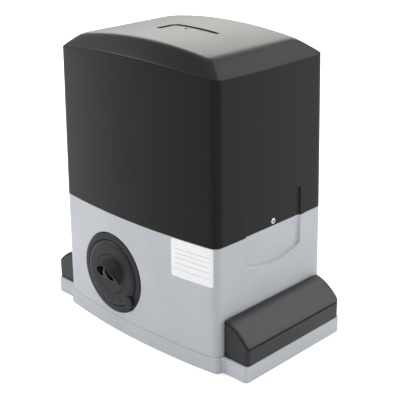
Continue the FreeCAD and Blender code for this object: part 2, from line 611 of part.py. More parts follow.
# the selector is a square sleeve on the spindle's coarse thread; it cannot turn, so it slides
keep("clutch_selector", cut("selector_bored",
                            join("selector_blank",
                                 block("selector_square", ("Dim.axle_x - 12", "-32", "Dim.axle_z - 12"),
                                       ("Dim.axle_x + 12", "-4", "Dim.axle_z + 12")),
                                 rod("selector_rod", "4", "62", ("Dim.axle_x", "-5", "Dim.axle_z"), "y")),
                            rod("selector_bore", "5 + Dim.run_gap", "23", ("Dim.axle_x", "-33", "Dim.axle_z"), "y")))

# --- gearbox -------------------------------------------------------------------------------------------
worm_x = "(Dim.axle_x + Dim.wheel_module * Dim.wheel_teeth / 2 + Dim.worm_pitch_radius)"
worm_at = (worm_x, "Dim.wheel_y")


def gearcase():
    """The gearbox casting: a drum round the worm wheel, a tower round the worm, a neck for the
    output shaft and a flange that carries the motor."""
    drum = rod("case_drum", "52", "50", ("Dim.axle_x", "16", "Dim.axle_z"), "y")
    neck = rod("case_neck", "26", "35", ("Dim.axle_x", "64", "Dim.axle_z"), "y")
    tower = rod("case_tower", "22", "112", (*worm_at, "34"))
    flange = rod("case_flange", "Dim.motor_radius", "8", (*worm_at, "Dim.motor_bottom - 8"))
    gusset = cone("case_gusset", "22", "Dim.motor_radius - 4", "22", (*worm_at, "Dim.motor_bottom - 30"))
    feet = [block(f"case_foot_{i}", (low, "16", "Dim.base_floor"), (high, "64", "44"))
            for i, (low, high) in enumerate((("-88", "-62"), ("-16", "22")))]
    lugs = block("case_lugs", ("-104", "24", "Dim.base_floor"), ("38", "56", "Dim.base_floor + 8"))
    wheel_room = rod("wheel_room", "45.5", "46", ("Dim.axle_x", "15", "Dim.axle_z"), "y")
    worm_room = rod("worm_room", "15", "72", (*worm_at, "50"))
    shaft_way = rod("shaft_way", "18", "12", ("Dim.axle_x", "60", "Dim.axle_z"), "y")
    rear_seat = rod("rear_seat", "21", "16", ("Dim.axle_x", "70", "Dim.axle_z"), "y")
    seal_seat = rod("seal_seat", "20", "14", ("Dim.axle_x", "86", "Dim.axle_z"), "y")
    low_seat = rod("low_seat", "13", "12", (*worm_at, "40"))
    high_seat = rod("high_seat", "16", "14", (*worm_at, "120"))
    motor_seat = rod("motor_seat", "30", "16", (*worm_at, "134"))
    bolt_holes = [rod(f"case_bolt_hole_{i}", "4.2", "20", (x, y, "0"))
                  for i, (x, y) in enumerate((("-97", "32"), ("-97", "48"), ("31", "32"), ("31", "48")))]
    screw_holes = [
        rod(f"case_screw_hole_{i}", "2", "12",
            (f"Dim.axle_x + 48.8 * cos({angle})", "15", f"Dim.axle_z + 48.8 * sin({angle})"), "y")
        for i, angle in enumerate(COVER_SCREW_ANGLES)]
    solid = join("case_solid", drum, neck, tower, flange, gusset, *feet, lugs)
    return cut("case_casting", solid, wheel_room, worm_room, shaft_way, rear_seat, seal_seat, low_seat,
               high_seat, motor_seat, *bolt_holes, *screw_holes)


COVER_SCREW_ANGLES = (30, 90, 150, 210, 270, 330)
keep("gearcase", gearcase())


def gearcase_cover():
    """The front plate of the gearbox, with the front bearing's seat and the selector's square guide."""
    plate = rod("case_cover_disc", "52", "12", ("Dim.axle_x", "4", "Dim.axle_z"), "y")
    guide = block("guide_outside", ("Dim.axle_x - 16", "-28", "Dim.axle_z - 16"), ("Dim.axle_x + 16", "5", "Dim.axle_z + 16"))
    room = block("guide_inside", ("Dim.axle_x - 12.3", "-29", "Dim.axle_z - 12.3"),
                 ("Dim.axle_x + 12.3", "4", "Dim.axle_z + 12.3"))
    seat = rod("front_seat", "21", "12", ("Dim.axle_x", "6", "Dim.axle_z"), "y")
    way = rod("selector_way", "8", "10", ("Dim.axle_x", "0", "Dim.axle_z"), "y")
    holes = [
        rod(f"cover_screw_way_{i}", "2.6", "14",
            (f"Dim.axle_x + 48.8 * cos({angle})", "3", f"Dim.axle_z + 48.8 * sin({angle})"), "y")
        for i, angle in enumerate(COVER_SCREW_ANGLES)]
    return cut("case_cover_casting", join("case_cover_solid", plate, guide), room, seat, way, *holes)


keep("gearcase_cover", gearcase_cover())
keep("gearcase_screws", group("case_screw_set", *[
    join(f"case_screw_{i}",
         rod(f"case_screw_head_{i}", "4.2", "3.6",
             (f"Dim.axle_x + 48.8 * cos({angle})", "0.4", f"Dim.axle_z + 48.8 * sin({angle})"), "y"),
         rod(f"case_screw_shank_{i}", "2", "22",
             (f"Dim.axle_x + 48.8 * cos({angle})", "3.9", f"Dim.axle_z + 48.8 * sin({angle})"), "y"))
    for i, angle in enumerate(COVER_SCREW_ANGLES)]))
keep("gearbox_bolts", group("case_bolt_set", *[
    join(f"case_bolt_{i}", rod(f"case_bolt_head_{i}", "6.5", "5", (x, y, "Dim.base_floor + 8")),
         rod(f"case_bolt_shank_{i}", "4", "8.2", (x, y, "Dim.base_floor")))
    for i, (x, y) in enumerate((("-97", "32"), ("-97", "48"), ("31", "32"), ("31", "48")))]))

shaft_bore = "(Dim.shaft_radius + Dim.run_gap)"
keep("front_bearing", tube("front_ring", "21", shaft_bore, "10", ("Dim.axle_x", "6", "Dim.axle_z"), "y"))
keep("rear_bearing", tube("rear_ring", "21", shaft_bore, "15", ("Dim.axle_x", "70.5", "Dim.axle_z"), "y"))
keep("shaft_seal", tube("seal_ring", "20", shaft_bore, "8", ("Dim.axle_x", "90", "Dim.axle_z"), "y"))
keep("worm_lower_bearing", tube("low_ring", "13", "Dim.spindle_radius + Dim.run_gap", "9", (*worm_at, "40")))
keep("worm_upper_bearing", tube("high_ring", "16", "Dim.spindle_radius + Dim.run_gap", "10", (*worm_at, "121")))

# --- output shaft, worm wheel and pinion ---------------------------------------------------------------


def output_shaft():
    """A stepped shaft, bored from the front for the selector's rod, with a keyway at the pinion."""
    shaft = turned("shaft_steps", [
        (0, 6.5), (0, 132), ("Dim.seat_radius", 132), ("Dim.seat_radius", "Dim.pinion_y"),
        ("Dim.shaft_radius", "Dim.pinion_y"), ("Dim.shaft_radius", 69.8), (16, 69.8),
        (16, "Dim.wheel_y + Dim.wheel_wide / 2"), ("Dim.shaft_radius", "Dim.wheel_y + Dim.wheel_wide / 2"),
        ("Dim.shaft_radius", 6.5),
    ])
    bore = rod("shaft_bore", "4 + Dim.run_gap", "64", ("Dim.axle_x", "5", "Dim.axle_z"), "y")
    keyway = block("shaft_keyway", ("Dim.axle_x - 4", "Dim.pinion_y + 2", "Dim.axle_z + Dim.seat_radius - 4"),
                   ("Dim.axle_x + 4", "Dim.pinion_y + 26", "Dim.axle_z + Dim.seat_radius + 1"))
    thread = rod("shaft_tapping", "4", "22", ("Dim.axle_x", "112", "Dim.axle_z"), "y")
    return cut("shaft_machined", shaft, bore, keyway, thread)


keep("output_shaft", output_shaft())
keep("pinion_key", block("key_bar", ("Dim.axle_x - 4", "Dim.pinion_y + 2", "Dim.axle_z + Dim.seat_radius - 4"),
                         ("Dim.axle_x + 4", "Dim.pinion_y + 26", "Dim.axle_z + Dim.seat_radius + 3")))
keep("pinion_bolt", join("pinion_bolt_turned",
                         rod("pinion_bolt_head", "6.5", "5.3", ("Dim.axle_x", "134.5", "Dim.axle_z"), "y"),
                         rod("pinion_bolt_shank", "4", "22", ("Dim.axle_x", "112.6", "Dim.axle_z"), "y")))
keep("pinion_washer", tube("pinion_washer_ring", "17", "4.2", "2.5", ("Dim.axle_x", "132", "Dim.axle_z"), "y"))


def involute_point(base_radius, radius, turn):
    """A point of an involute at a radius, turned by an angle about the gear's centre."""
    roll = math.sqrt(max((radius / base_radius) ** 2 - 1, 0))
    angle = roll - math.atan(roll) + turn
    return Vector(radius * math.cos(angle), radius * math.sin(angle), 0)


def pinion():
    """A spur pinion: a disc with one involute gap cut and repeated round it."""
    teeth = int(number("Dim.pinion_teeth"))
    module = number("Dim.pinion_module")
    pitch = teeth * module / 2
    base = pitch * math.cos(math.radians(20))
    body = body_of("pinion_gear")
    face = sketch(body, "pinion_disc", "XY_Plane")
    circle = face.addGeometry(Part.Circle(Vector(), Vector(0, 0, 1), pitch + module), False)
    face.addConstraint(Sketcher.Constraint("Coincident", circle, 3, -1, 1))
    index = face.addConstraint(Sketcher.Constraint("Radius", circle, pitch + module))
    face.setExpression(f"Constraints[{index}]", "Dim.pinion_teeth * Dim.pinion_module / 2 + Dim.pinion_module")
    bind(feature(body, "Pad", "pinion_blank", Profile=face), Length="Dim.pinion_wide")
    # half a gap's angle where the flank crosses the pitch circle, with a little backlash
    half_gap = math.pi / (2 * teeth) + 0.004
    flank_turn = half_gap - (math.tan(math.radians(20)) - math.radians(20))
    root = pitch - 1.2 * module
    upper = [involute_point(base, r, flank_turn) for r in (base, (base + pitch + module) / 2, pitch + module + 2)]
    low = Vector(root * math.cos(flank_turn * 0.8), root * math.sin(flank_turn * 0.8), 0)
    gap = sketch(body, "pinion_gap", "XY_Plane")
    mirror = [Vector(p.x, -p.y, 0) for p in upper]
    mirror_low = Vector(low.x, -low.y, 0)
    gap.addGeometry([
        Part.Arc(*upper), Part.LineSegment(upper[2], mirror[2]), Part.Arc(*reversed(mirror)),
        Part.LineSegment(mirror[0], mirror_low), Part.Arc(mirror_low, Vector(root, 0, 0), low),
        Part.LineSegment(low, upper[0]),
    ], False)
    pocket = feature(body, "Pocket", "pinion_gap_cut", Profile=gap, Type="ThroughAll", Midplane=True)
    around = feature(body, "PolarPattern", "pinion_gaps", Originals=[pocket], Axis=(face, ["N_Axis"]), Angle=360)
    bind(around, Occurrences="Dim.pinion_teeth")
    body.Tip = around
    place(body, "Dim.axle_x", "Dim.pinion_y", "Dim.axle_z", TURN["y"])
    bore = rod("pinion_bore", "Dim.seat_radius", "40", ("Dim.axle_x", "100", "Dim.axle_z"), "y")
    keyway = block("pinion_keyway", ("Dim.axle_x - 4", "100", "Dim.axle_z + 4"),
                   ("Dim.axle_x + 4", "140", "Dim.axle_z + Dim.seat_radius + 3.2"))
    return cut("pinion_machined", body, bore, keyway)


keep("drive_pinion", pinion())


def worm_wheel():
    """A bronze wheel: a blank with one slanted tooth lofted across its width and repeated."""
    teeth = int(number("Dim.wheel_teeth"))
    module = number("Dim.wheel_module")
    pitch = teeth * module / 2
    wide = number("Dim.wheel_wide")
    root, tip = pitch - 1.25 * module, pitch + module
    twist = math.degrees(wide / 2 * (module / (2 * number("Dim.worm_pitch_radius"))) / pitch)
    body = body_of("wheel_gear")
    face = sketch(body, "wheel_profile", "XZ_Plane")
    outline(face, [
        ("Dim.shaft_radius", "-Dim.wheel_wide / 2"), ("20", "-Dim.wheel_wide / 2"), ("20", "-5"), ("31", "-5"),
        ("31", "-Dim.wheel_wide / 2"), (root, "-Dim.wheel_wide / 2"), (root, "Dim.wheel_wide / 2"),
        ("31", "Dim.wheel_wide / 2"), ("31", "5"), ("20", "5"), ("20", "Dim.wheel_wide / 2"),
        ("Dim.shaft_radius", "Dim.wheel_wide / 2"),
    ])
    feature(body, "Revolution", "wheel_blank", Profile=face, Angle=360, ReferenceAxis=(face, ["V_Axis"]))
    sections = []
    for end in (-1, 1):
        tooth = sketch(body, f"wheel_tooth_{'front' if end < 0 else 'back'}", "XY_Plane",
                       offset=f"{end} * Dim.wheel_wide / 2", turn=end * twist)
        outline(tooth, [(root - 1, -2.15), (pitch, -1.7), (tip, -0.95), (tip, 0.95), (pitch, 1.7), (root - 1, 2.15)])
        sections.append(tooth)
    loft = feature(body, "AdditiveLoft", "wheel_tooth", Profile=sections[0], Sections=[sections[1]], Ruled=True)
    around = feature(body, "PolarPattern", "wheel_teeth_set", Originals=[loft], Axis=(sections[0], ["N_Axis"]), Angle=360)
    bind(around, Occurrences="Dim.wheel_teeth")
    body.Tip = around
    return place(body, "Dim.axle_x", "Dim.wheel_y", "Dim.axle_z", TURN["y"])


keep("worm_wheel", worm_wheel())

# --- motor ---------------------------------------------------------------------------------------------


def worm():
    """A single-start worm: a bored core with one right-hand thread swept along a helix."""
    lead = math.pi * number("Dim.wheel_module")
    half = 1.7
    body = body_of("worm_gear")
    face = sketch(body, "worm_core_profile", "XZ_Plane")
    outline(face, [("Dim.spindle_radius", -28), (7, -28), (7, 28), ("Dim.spindle_radius", 28)])
    feature(body, "Revolution", "worm_core", Profile=face, Angle=360, ReferenceAxis=(face, ["V_Axis"]))
    thread = sketch(body, "worm_thread_profile", "XZ_Plane")
    tip = "Dim.worm_pitch_radius + 2.4"
    turns = number("Dim.worm_turns")
    start = -turns / 2 * lead
    outline(thread, [(6.6, start - 2.4), (tip, start - 0.9), (tip, start + 0.9), (6.6, start + 2.4)])
    feature(body, "AdditiveHelix", "worm_thread", Profile=thread, ReferenceAxis=(thread, ["V_Axis"]),
            Mode=0, Pitch=lead, Height=turns * lead)
    return place(body, worm_x, "Dim.wheel_y", "Dim.axle_z")


keep("worm", worm())
keep("rotor_shaft", rod("rotor_shaft_bar", "Dim.spindle_radius", "271", (*worm_at, "41")))
keep("rotor_core", tube("rotor_core_stack", "Dim.core_radius", "Dim.spindle_radius",
                        "Dim.core_top - Dim.core_bottom", (*worm_at, "Dim.core_bottom")))
keep("encoder_disc", tube("encoder_ring", "15", "Dim.spindle_radius", "2", (*worm_at, "308")))


def motor_casing():
    """A tube with cooling fins down its sides, and a foot flange."""
    body = body_of("motor_tube")
    face = sketch(body, "motor_tube_profile", "XZ_Plane")
    inner = "Dim.motor_radius - Dim.motor_wall"
    outline(face, [
        (inner, "Dim.motor_bottom"), ("Dim.motor_radius", "Dim.motor_bottom"),
        ("Dim.motor_radius", "Dim.motor_bottom + 6"), ("Dim.motor_radius - 1.4", "Dim.motor_bottom + 8"),
        ("Dim.motor_radius - 1.4", "Dim.motor_top"), (inner, "Dim.motor_top"),
    ])
    feature(body, "Revolution", "motor_tube_turned", Profile=face, Angle=360, ReferenceAxis=(face, ["V_Axis"]))
    fin = sketch(body, "motor_fin_outline", "XY_Plane", offset="Dim.motor_bottom + 12")
    outline(fin, [("Dim.motor_radius - 2.4", -1.3), ("Dim.motor_radius + 1.6", -0.9),
                  ("Dim.motor_radius + 1.6", 0.9), ("Dim.motor_radius - 2.4", 1.3)])
    pad = feature(body, "Pad", "motor_fin", Profile=fin)
    bind(pad, Length="Dim.motor_top - Dim.motor_bottom - 20")
    around = feature(body, "PolarPattern", "motor_fins", Originals=[pad], Axis=(fin, ["N_Axis"]), Angle=360)
    around.Occurrences = 24
    body.Tip = around
    return place(body, worm_x, "Dim.wheel_y", 0)


keep("motor_casing", motor_casing())
stator_outer = "Dim.motor_radius - Dim.motor_wall"
keep("stator_core", tube("stator_stack", stator_outer, "Dim.core_radius + 0.6", "Dim.core_top - Dim.core_bottom",
                         (*worm_at, "Dim.core_bottom")))
keep("stator_windings", group("winding_pair", *[
    tube(f"winding_{label}", f"{stator_outer} - 2", "Dim.core_radius + 2.5", "14", (*worm_at, low))
    for label, low in (("lower", "Dim.core_bottom - 14"), ("upper", "Dim.core_top"))]))

CAP_SCREW_ANGLES = (45, 135, 225, 315)


def motor_end_cap():
    """The top cap, with the upper bearing's seat and a raised boss."""
    disc = rod("cap_disc", "Dim.motor_radius", "10", (*worm_at, "Dim.motor_top"))
    boss = cone("cap_boss", "24", "18", "6", (*worm_at, "Dim.motor_top + 10"))
    seat = rod("cap_seat", "14", "10", (*worm_at, "Dim.motor_top - 0.5"))
    way = rod("cap_way", "Dim.spindle_radius + 0.5", "20", (*worm_at, "Dim.motor_top"))
    holes = [rod(f"cap_hole_{i}", "2.2", "12",
                 (f"{worm_x} + 42 * cos({angle})", f"Dim.wheel_y + 42 * sin({angle})", "Dim.motor_top - 1"))
             for i, angle in enumerate(CAP_SCREW_ANGLES)]
    return cut("cap_casting", join("cap_solid", disc, boss), seat, way, *holes)


keep("motor_end_cap", motor_end_cap())
keep("motor_top_bearing", tube("top_ring", "14", "Dim.spindle_radius + Dim.run_gap", "9", (*worm_at, "Dim.motor_top")))
keep("motor_cap_screws", group("cap_screw_set", *[
    join(f"cap_screw_{i}",
         rod(f"cap_screw_head_{i}", "3.8", "3.2",
             (f"{worm_x} + 42 * cos({angle})", f"Dim.wheel_y + 42 * sin({angle})", "Dim.motor_top + 10")),
         rod(f"cap_screw_shank_{i}", "2", "10.4",
             (f"{worm_x} + 42 * cos({angle})", f"Dim.wheel_y + 42 * sin({angle})", "Dim.motor_top - 0.2")))
    for i, angle in enumerate(CAP_SCREW_ANGLES)]))
keep("encoder_sensor", cut("encoder_block_slotted",
                           block("encoder_block", (f"{worm_x} - 6", "Dim.wheel_y - 30", "Dim.motor_top + 10"),
                                 (f"{worm_x} + 6", "Dim.wheel_y - 12", "Dim.motor_top + 24")),
                           block("encoder_slot", (f"{worm_x} - 7", "Dim.wheel_y - 17", "306"),
                                 (f"{worm_x} + 7", "Dim.wheel_y", "312")),
                           cone("encoder_boss_way", "24.5", "18.5", "6.2", (*worm_at, "Dim.motor_top + 10")),
                           rod("encoder_top_way", "18.5", "20", (*worm_at, "Dim.motor_top + 16"))))

# --- electrical parts ------------------------------------------------------------------------------------

keep("run_capacitor", join("capacitor_can",
                           rod("capacitor_body", "18", "78", ("-112", "-25", "Dim.base_floor + 2")),
                           *[block(f"capacitor_tag_{i}", (f"{x} - 0.4", "-28", "Dim.base_floor + 80"),
                                   (f"{x} + 0.4", "-22", "Dim.base_floor + 89")) for i, x in enumerate(("-118", "-106"))]))
keep("capacitor_clip", join("clip_parts",
                            tube("clip_ring", "20", "18", "12", ("-112", "-25", "Dim.base_floor + 30")),
                            cut("clip_leg_trimmed",
                                block("clip_leg", ("-118", "-46", "Dim.base_floor"), ("-106", "-42.5", "Dim.base_floor + 42")),
                                rod("clip_leg_way", "18", "100", ("-112", "-25", "0"))),
                            block("clip_foot", ("-118", "-56", "Dim.base_floor"), ("-106", "-42.5", "Dim.base_floor + 2"))))
keep("transformer", cut("toroid_bored",
                        rod("toroid", "34", "36", ("98", "50", "Dim.base_floor + 2")),
                        rod("toroid_eye", "9", "60", ("98", "50", "0"))))
keep("transformer_clamp", join("clamp_stack",
                               rod("clamp_dish", "22", "2", ("98", "50", "Dim.base_floor + 38")),
                               rod("clamp_bolt", "3", "40", ("98", "50", "Dim.base_floor")),
                               rod("clamp_bolt_head", "5.5", "4", ("98", "50", "Dim.base_floor + 40")),
                               rod("clamp_pad", "30", "2", ("98", "50", "Dim.base_floor"))))


def board_carrier():
    """A moulded tray that stands on two posts and holds the control board upright."""
    back = block("carrier_back", ("-94", "Dim.board_y + 7", "150"), ("94", "Dim.board_y + 10", "332"))
    rim = cut("carrier_rim",
              block("carrier_rim_outside", ("-94", "Dim.board_y - 6", "150"), ("94", "Dim.board_y + 8", "332")),
              block("carrier_rim_inside", ("-91", "Dim.board_y - 7", "153"), ("91", "Dim.board_y + 9", "329")))
    posts = [block(f"carrier_post_{i}", (low, "Dim.board_y", "Dim.base_floor"), (high, "Dim.board_y + 10", "152"))
             for i, (low, high) in enumerate((("-94", "-84"), ("84", "94")))]
    pegs = [rod(f"carrier_peg_{i}", "4", "6", (x, "Dim.board_y + 1.6", z), "y")
            for i, (x, z) in enumerate((("-78", "165"), ("78", "165"), ("-78", "318"), ("78", "318")))]
    return join("carrier_moulding", back, rim, *posts, *pegs)


keep("board_carrier", board_carrier())
keep("control_board", block("board_sheet", ("-86", "Dim.board_y", "158"), ("86", "Dim.board_y + 1.6", "325")))
keep("board_screws", group("board_screw_set", *[
    rod(f"board_screw_{i}", "3", "2.2", (x, "Dim.board_y - 2.2", z), "y")
    for i, (x, z) in enumerate((("-78", "165"), ("78", "165"), ("-78", "318"), ("78", "318")))]))
keep("terminal_blocks", group("terminal_row", *[
    cut(f"terminal_{i}_slotted",
        block(f"terminal_{i}", (f"{x}", "Dim.board_y - 14", "176"), (f"{x} + 36", "Dim.board_y", "190")),
        *[block(f"terminal_{i}_way_{j}", (f"{x} + {2 + 7 * j}", "Dim.board_y - 11", "175"),
                (f"{x} + {6.5 + 7 * j}", "Dim.board_y - 5", "184")) for j in range(5)])
    for i, x in enumerate((-66, -26, 14))]))
keep("board_relays", group("relay_pair", *[
    block(f"relay_{i}", (x, "Dim.board_y - 16", "204"), (f"{x} + 28", "Dim.board_y", "217"))
    for i, x in enumerate((-66, -30))]))
keep("board_fuse", join("fuse_holder",
                        block("fuse_base", ("30", "Dim.board_y - 5", "206"), ("60", "Dim.board_y", "215")),
                        rod("fuse_barrel", "3.2", "24", ("33", "Dim.board_y - 8", "210.5"), "x")))
keep("board_microchip", block("chip_body", ("-20", "Dim.board_y - 3", "244"), ("6", "Dim.board_y", "262")))
keep("board_display", block("display_body", ("24", "Dim.board_y - 7", "250"), ("62", "Dim.board_y", "272")))
keep("radio_receiver", block("receiver_card", ("-64", "Dim.board_y - 30", "284"), ("-18", "Dim.board_y", "287")))
keep("limit_sensor", block("sensor_box", ("-118", "78", "118"), ("-76", "92.8", "150")))
keep("earth_stud", join("earth_terminal",
                        rod("earth_bar", "2.5", "20", ("112", "-45", "Dim.base_floor")),
                        rod("earth_nut", "5", "4", ("112", "-45", "Dim.base_floor + 5"))))
keep("cable_grommet", cut("grommet_bored",
                          join("grommet_blank",
                               rod("grommet_neck", "Dim.cable_radius + 4", "6", ("Dim.cable_x", "Dim.cable_y", "0.5")),
                               rod("grommet_rim", "Dim.cable_radius + 8", "2.5",
                                   ("Dim.cable_x", "Dim.cable_y", "Dim.base_floor"))),
                          rod("grommet_bore", "Dim.cable_radius", "20", ("Dim.cable_x", "Dim.cable_y", "-2"))))

doc.recompute()
for item in doc.Objects:
    if "Invalid" in item.State or "Error" in item.State:
        raise RuntimeError(f"{item.Name} failed: {item.State}")
os.makedirs("parts", exist_ok=True)
for item in nodes:
    shape = item.Shape
    if shape.isNull() or not shape.isValid() or not shape.Solids:
        raise RuntimeError(f"{item.Label} has no valid solid")
    shape.exportStep(f"parts/{item.Label}.step")
    box = shape.BoundBox
    print(f"{item.Label:24s} solids {len(shape.Solids):2d}  volume {shape.Volume / 1000:9.2f} cm3")
print(len(nodes), "nodes")
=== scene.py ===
import math

import bmesh
import bpy
from mathutils import Matrix, Vector


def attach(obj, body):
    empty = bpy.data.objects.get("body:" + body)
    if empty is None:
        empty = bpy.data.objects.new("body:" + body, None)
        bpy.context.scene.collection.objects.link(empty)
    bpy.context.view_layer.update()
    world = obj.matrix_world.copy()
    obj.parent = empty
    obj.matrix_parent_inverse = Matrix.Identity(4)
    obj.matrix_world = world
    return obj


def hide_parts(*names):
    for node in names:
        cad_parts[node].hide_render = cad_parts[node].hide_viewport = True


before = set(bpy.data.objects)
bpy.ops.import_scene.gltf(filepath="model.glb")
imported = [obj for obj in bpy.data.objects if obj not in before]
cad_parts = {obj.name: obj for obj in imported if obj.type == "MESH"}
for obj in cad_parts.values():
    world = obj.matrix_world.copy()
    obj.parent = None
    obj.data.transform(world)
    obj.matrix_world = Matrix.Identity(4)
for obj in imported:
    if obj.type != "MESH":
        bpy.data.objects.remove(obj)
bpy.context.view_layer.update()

# --- the view -------------------------------------------------------------------------------------
# A long lens stands 1.3 m away at the front right corner, a little above the roof. It is aimed at the
# middle of the housing, leans by a degree and has its film moved a little off its axis.
camera_data = bpy.data.cameras.new("view")
camera_data.lens = 85.7
camera_data.sensor_width = 36
camera_data.shift_x, camera_data.shift_y = 0.0222, -0.0055
camera = bpy.data.objects.new("view", camera_data)
bpy.context.scene.collection.objects.link(camera)
bpy.context.scene.camera = camera
stand = Vector((0.83306, -0.82064, 0.62188))
forward = (Vector((0, 0, 0.165)) - stand).normalized()
level = forward.cross(Vector((0, 0, 1))).normalized()
roll = math.radians(-0.904)
right = level * math.cos(roll) + level.cross(forward) * math.sin(roll)
above = right.cross(forward)
turned_to = Matrix((right, above, -forward)).transposed().to_4x4()
camera.matrix_world = Matrix.Translation(stand) @ turned_to
bpy.context.scene.view_settings.view_transform = "Standard"


# --- the studio -----------------------------------------------------------------------------------
# A wide pale floor that takes a soft shadow, and an even pale room that shows as plain white. One soft
# box hangs overhead, one stands at the front left and three stand behind.
def srgb(code):
    """The linear colour of an sRGB hex code."""
    parts = [int(code[i:i + 2], 16) / 255 for i in (1, 3, 5)]
    return (*(c / 12.92 if c <= 0.04045 else ((c + 0.055) / 1.055) ** 2.4 for c in parts), 1)


def put(tree, kind, inputs=None, **settings):
    """Add a node with its settings. An input takes a value, or a socket to link from."""
    item = tree.nodes.new(kind)
    for key, value in settings.items():
        setattr(item, key, value)
    for key, value in (inputs or {}).items():
        if isinstance(value, bpy.types.NodeSocket):
            tree.links.new(value, item.inputs[key])
        else:
            item.inputs[key].default_value = value
    return item


def maths(tree, operation, *values):
    return put(tree, "ShaderNodeMath", dict(enumerate(values)), operation=operation).outputs[0]


def noise(tree, place, size, detail=2, roughness=0.5):
    """Cloudy noise whose features are of a size in millimetres."""
    return put(tree, "ShaderNodeTexNoise", {"Vector": place, "Scale": 1000 / size, "Detail": detail,
                                            "Roughness": roughness}).outputs[0]


def spread(tree, value, low, high, start=0.0, end=1.0):
    """The part of a value between low and high, carried over to start and end."""
    return put(tree, "ShaderNodeMapRange", {0: value, 1: low, 2: high, 3: start, 4: end}).outputs[0]


def tinted(tree, share, first, second):
    """A colour between two, each given as a hex code or a socket."""
    first, second = (srgb(tone) if isinstance(tone, str) else tone for tone in (first, second))
    return put(tree, "ShaderNodeMix", {0: share, 6: first, 7: second}, data_type="RGBA").outputs[2]


def bumped(tree, height, relief, strength=1.0):
    """A normal with a relief in millimetres."""
    return put(tree, "ShaderNodeBump", {"Height": height, "Distance": relief / 1000,
                                        "Strength": strength}).outputs[0]


def fresh_material(name):
    """A material with its tree, and the place on the object that its textures go by."""
    material = bpy.data.materials.new(name)
    material.use_nodes = True
    material.node_tree.nodes.clear()
    return material, material.node_tree, put(material.node_tree, "ShaderNodeTexCoord").outputs["Object"]


def principled(tree, inputs):
    """Close a material with one principled shader."""
    shader = put(tree, "ShaderNodeBsdfPrincipled", inputs)
    put(tree, "ShaderNodeOutputMaterial", {"Surface": shader.outputs[0]})


def looked_at(tree):
    """1 for a ray that shows the surface, or shows it in a gloss or through glass, and 0 for the rest."""
    seen = put(tree, "ShaderNodeLightPath").outputs
    direct = maths(tree, "MAXIMUM", seen["Is Camera Ray"], seen["Is Glossy Ray"])
    return maths(tree, "MAXIMUM", direct, seen["Is Transmission Ray"])


def link_object(name, mesh):
    item = bpy.data.objects.new(name, mesh)
    bpy.context.scene.collection.objects.link(item)
    return item


def paint(item, material):
    """Give a piece one material in place of any that it has."""
    item.data.materials.clear()
    item.data.materials.append(material)


floor_reach = 7
floor_mesh = bpy.data.meshes.new("studio_floor")
floor_corners = [(x * floor_reach, y * floor_reach, 0) for x, y in ((-1, -1), (1, -1), (1, 1), (-1, 1))]
floor_mesh.from_pydata(floor_corners, [], [(0, 1, 2, 3)])
studio_floor = link_object("studio_floor", floor_mesh)
floor_paper, tree, place = fresh_material("matt_white_paper")
paper = put(tree, "ShaderNodeBsdfDiffuse", {"Color": srgb("#f2f2f2")})
# the paper glows more the further it lies from the middle, out of the lamps' reach, until it shows as the white
# of the room
lift_near, lift_starts, lift_whole = 0.3, 0.9, 2.2
away = put(tree, "ShaderNodeVectorMath", {0: place}, operation="LENGTH").outputs["Value"]
lift = maths(tree, "MULTIPLY", looked_at(tree), spread(tree, away, lift_starts, lift_whole, lift_near))
glow = put(tree, "ShaderNodeEmission", {"Color": (1, 1, 1, 1), "Strength": lift})
both = put(tree, "ShaderNodeAddShader", {0: paper.outputs[0], 1: glow.outputs[0]})
put(tree, "ShaderNodeOutputMaterial", {"Surface": both.outputs[0]})
paint(studio_floor, floor_paper)

room = bpy.data.worlds.new("pale_room")
room.use_nodes = True
tree = room.node_tree
tree.nodes.clear()
room_light = put(tree, "ShaderNodeBackground", {"Color": srgb("#f4f6f8"), "Strength": 0.58})
room_white = put(tree, "ShaderNodeBackground", {"Color": (1, 1, 1, 1), "Strength": 1})
room_mix = put(tree, "ShaderNodeMixShader", {0: looked_at(tree), 1: room_light.outputs[0],
                                             2: room_white.outputs[0]})
put(tree, "ShaderNodeOutputWorld", {"Surface": room_mix.outputs[0]})
bpy.context.scene.world = room

for name, place, aim, size, power, tint in (
        ("overhead_box", (0.1, -0.3, 1.9), (0, 0, 0.2), (1.2, 1.2), 8.5, "#ffffff"),
        ("back_box", (-1.45, 1.3, 1.25), (0, 0, 0.38), (1.7, 1.0), 25, "#fffdf8"),
        ("front_box", (-1.5, -1.12, 1.6), (0, 0, 0.36), (1.0, 0.7), 24, "#ffffff"),
        ("rear_box", (0.4, 1.2, 1.7), (0.1, 0, 0.1), (0.9, 0.9), 9.5, "#ffffff"),
        ("rear_right_box", (1.3, 1.4, 1.3), (0.15, 0, 0.1), (1.0, 1.0), 12.5, "#ffffff")):
    lamp_data = bpy.data.lights.new(name, "AREA")
    lamp_data.shape = "RECTANGLE"
    lamp_data.size, lamp_data.size_y = size
    lamp_data.energy = power
    lamp_data.color = srgb(tint)[:3]
    lamp = bpy.data.objects.new(name, lamp_data)
    bpy.context.scene.collection.objects.link(lamp)
    lamp.location = place
    lamp.rotation_euler = (Vector(aim) - Vector(place)).to_track_quat("-Z", "Y").to_euler()


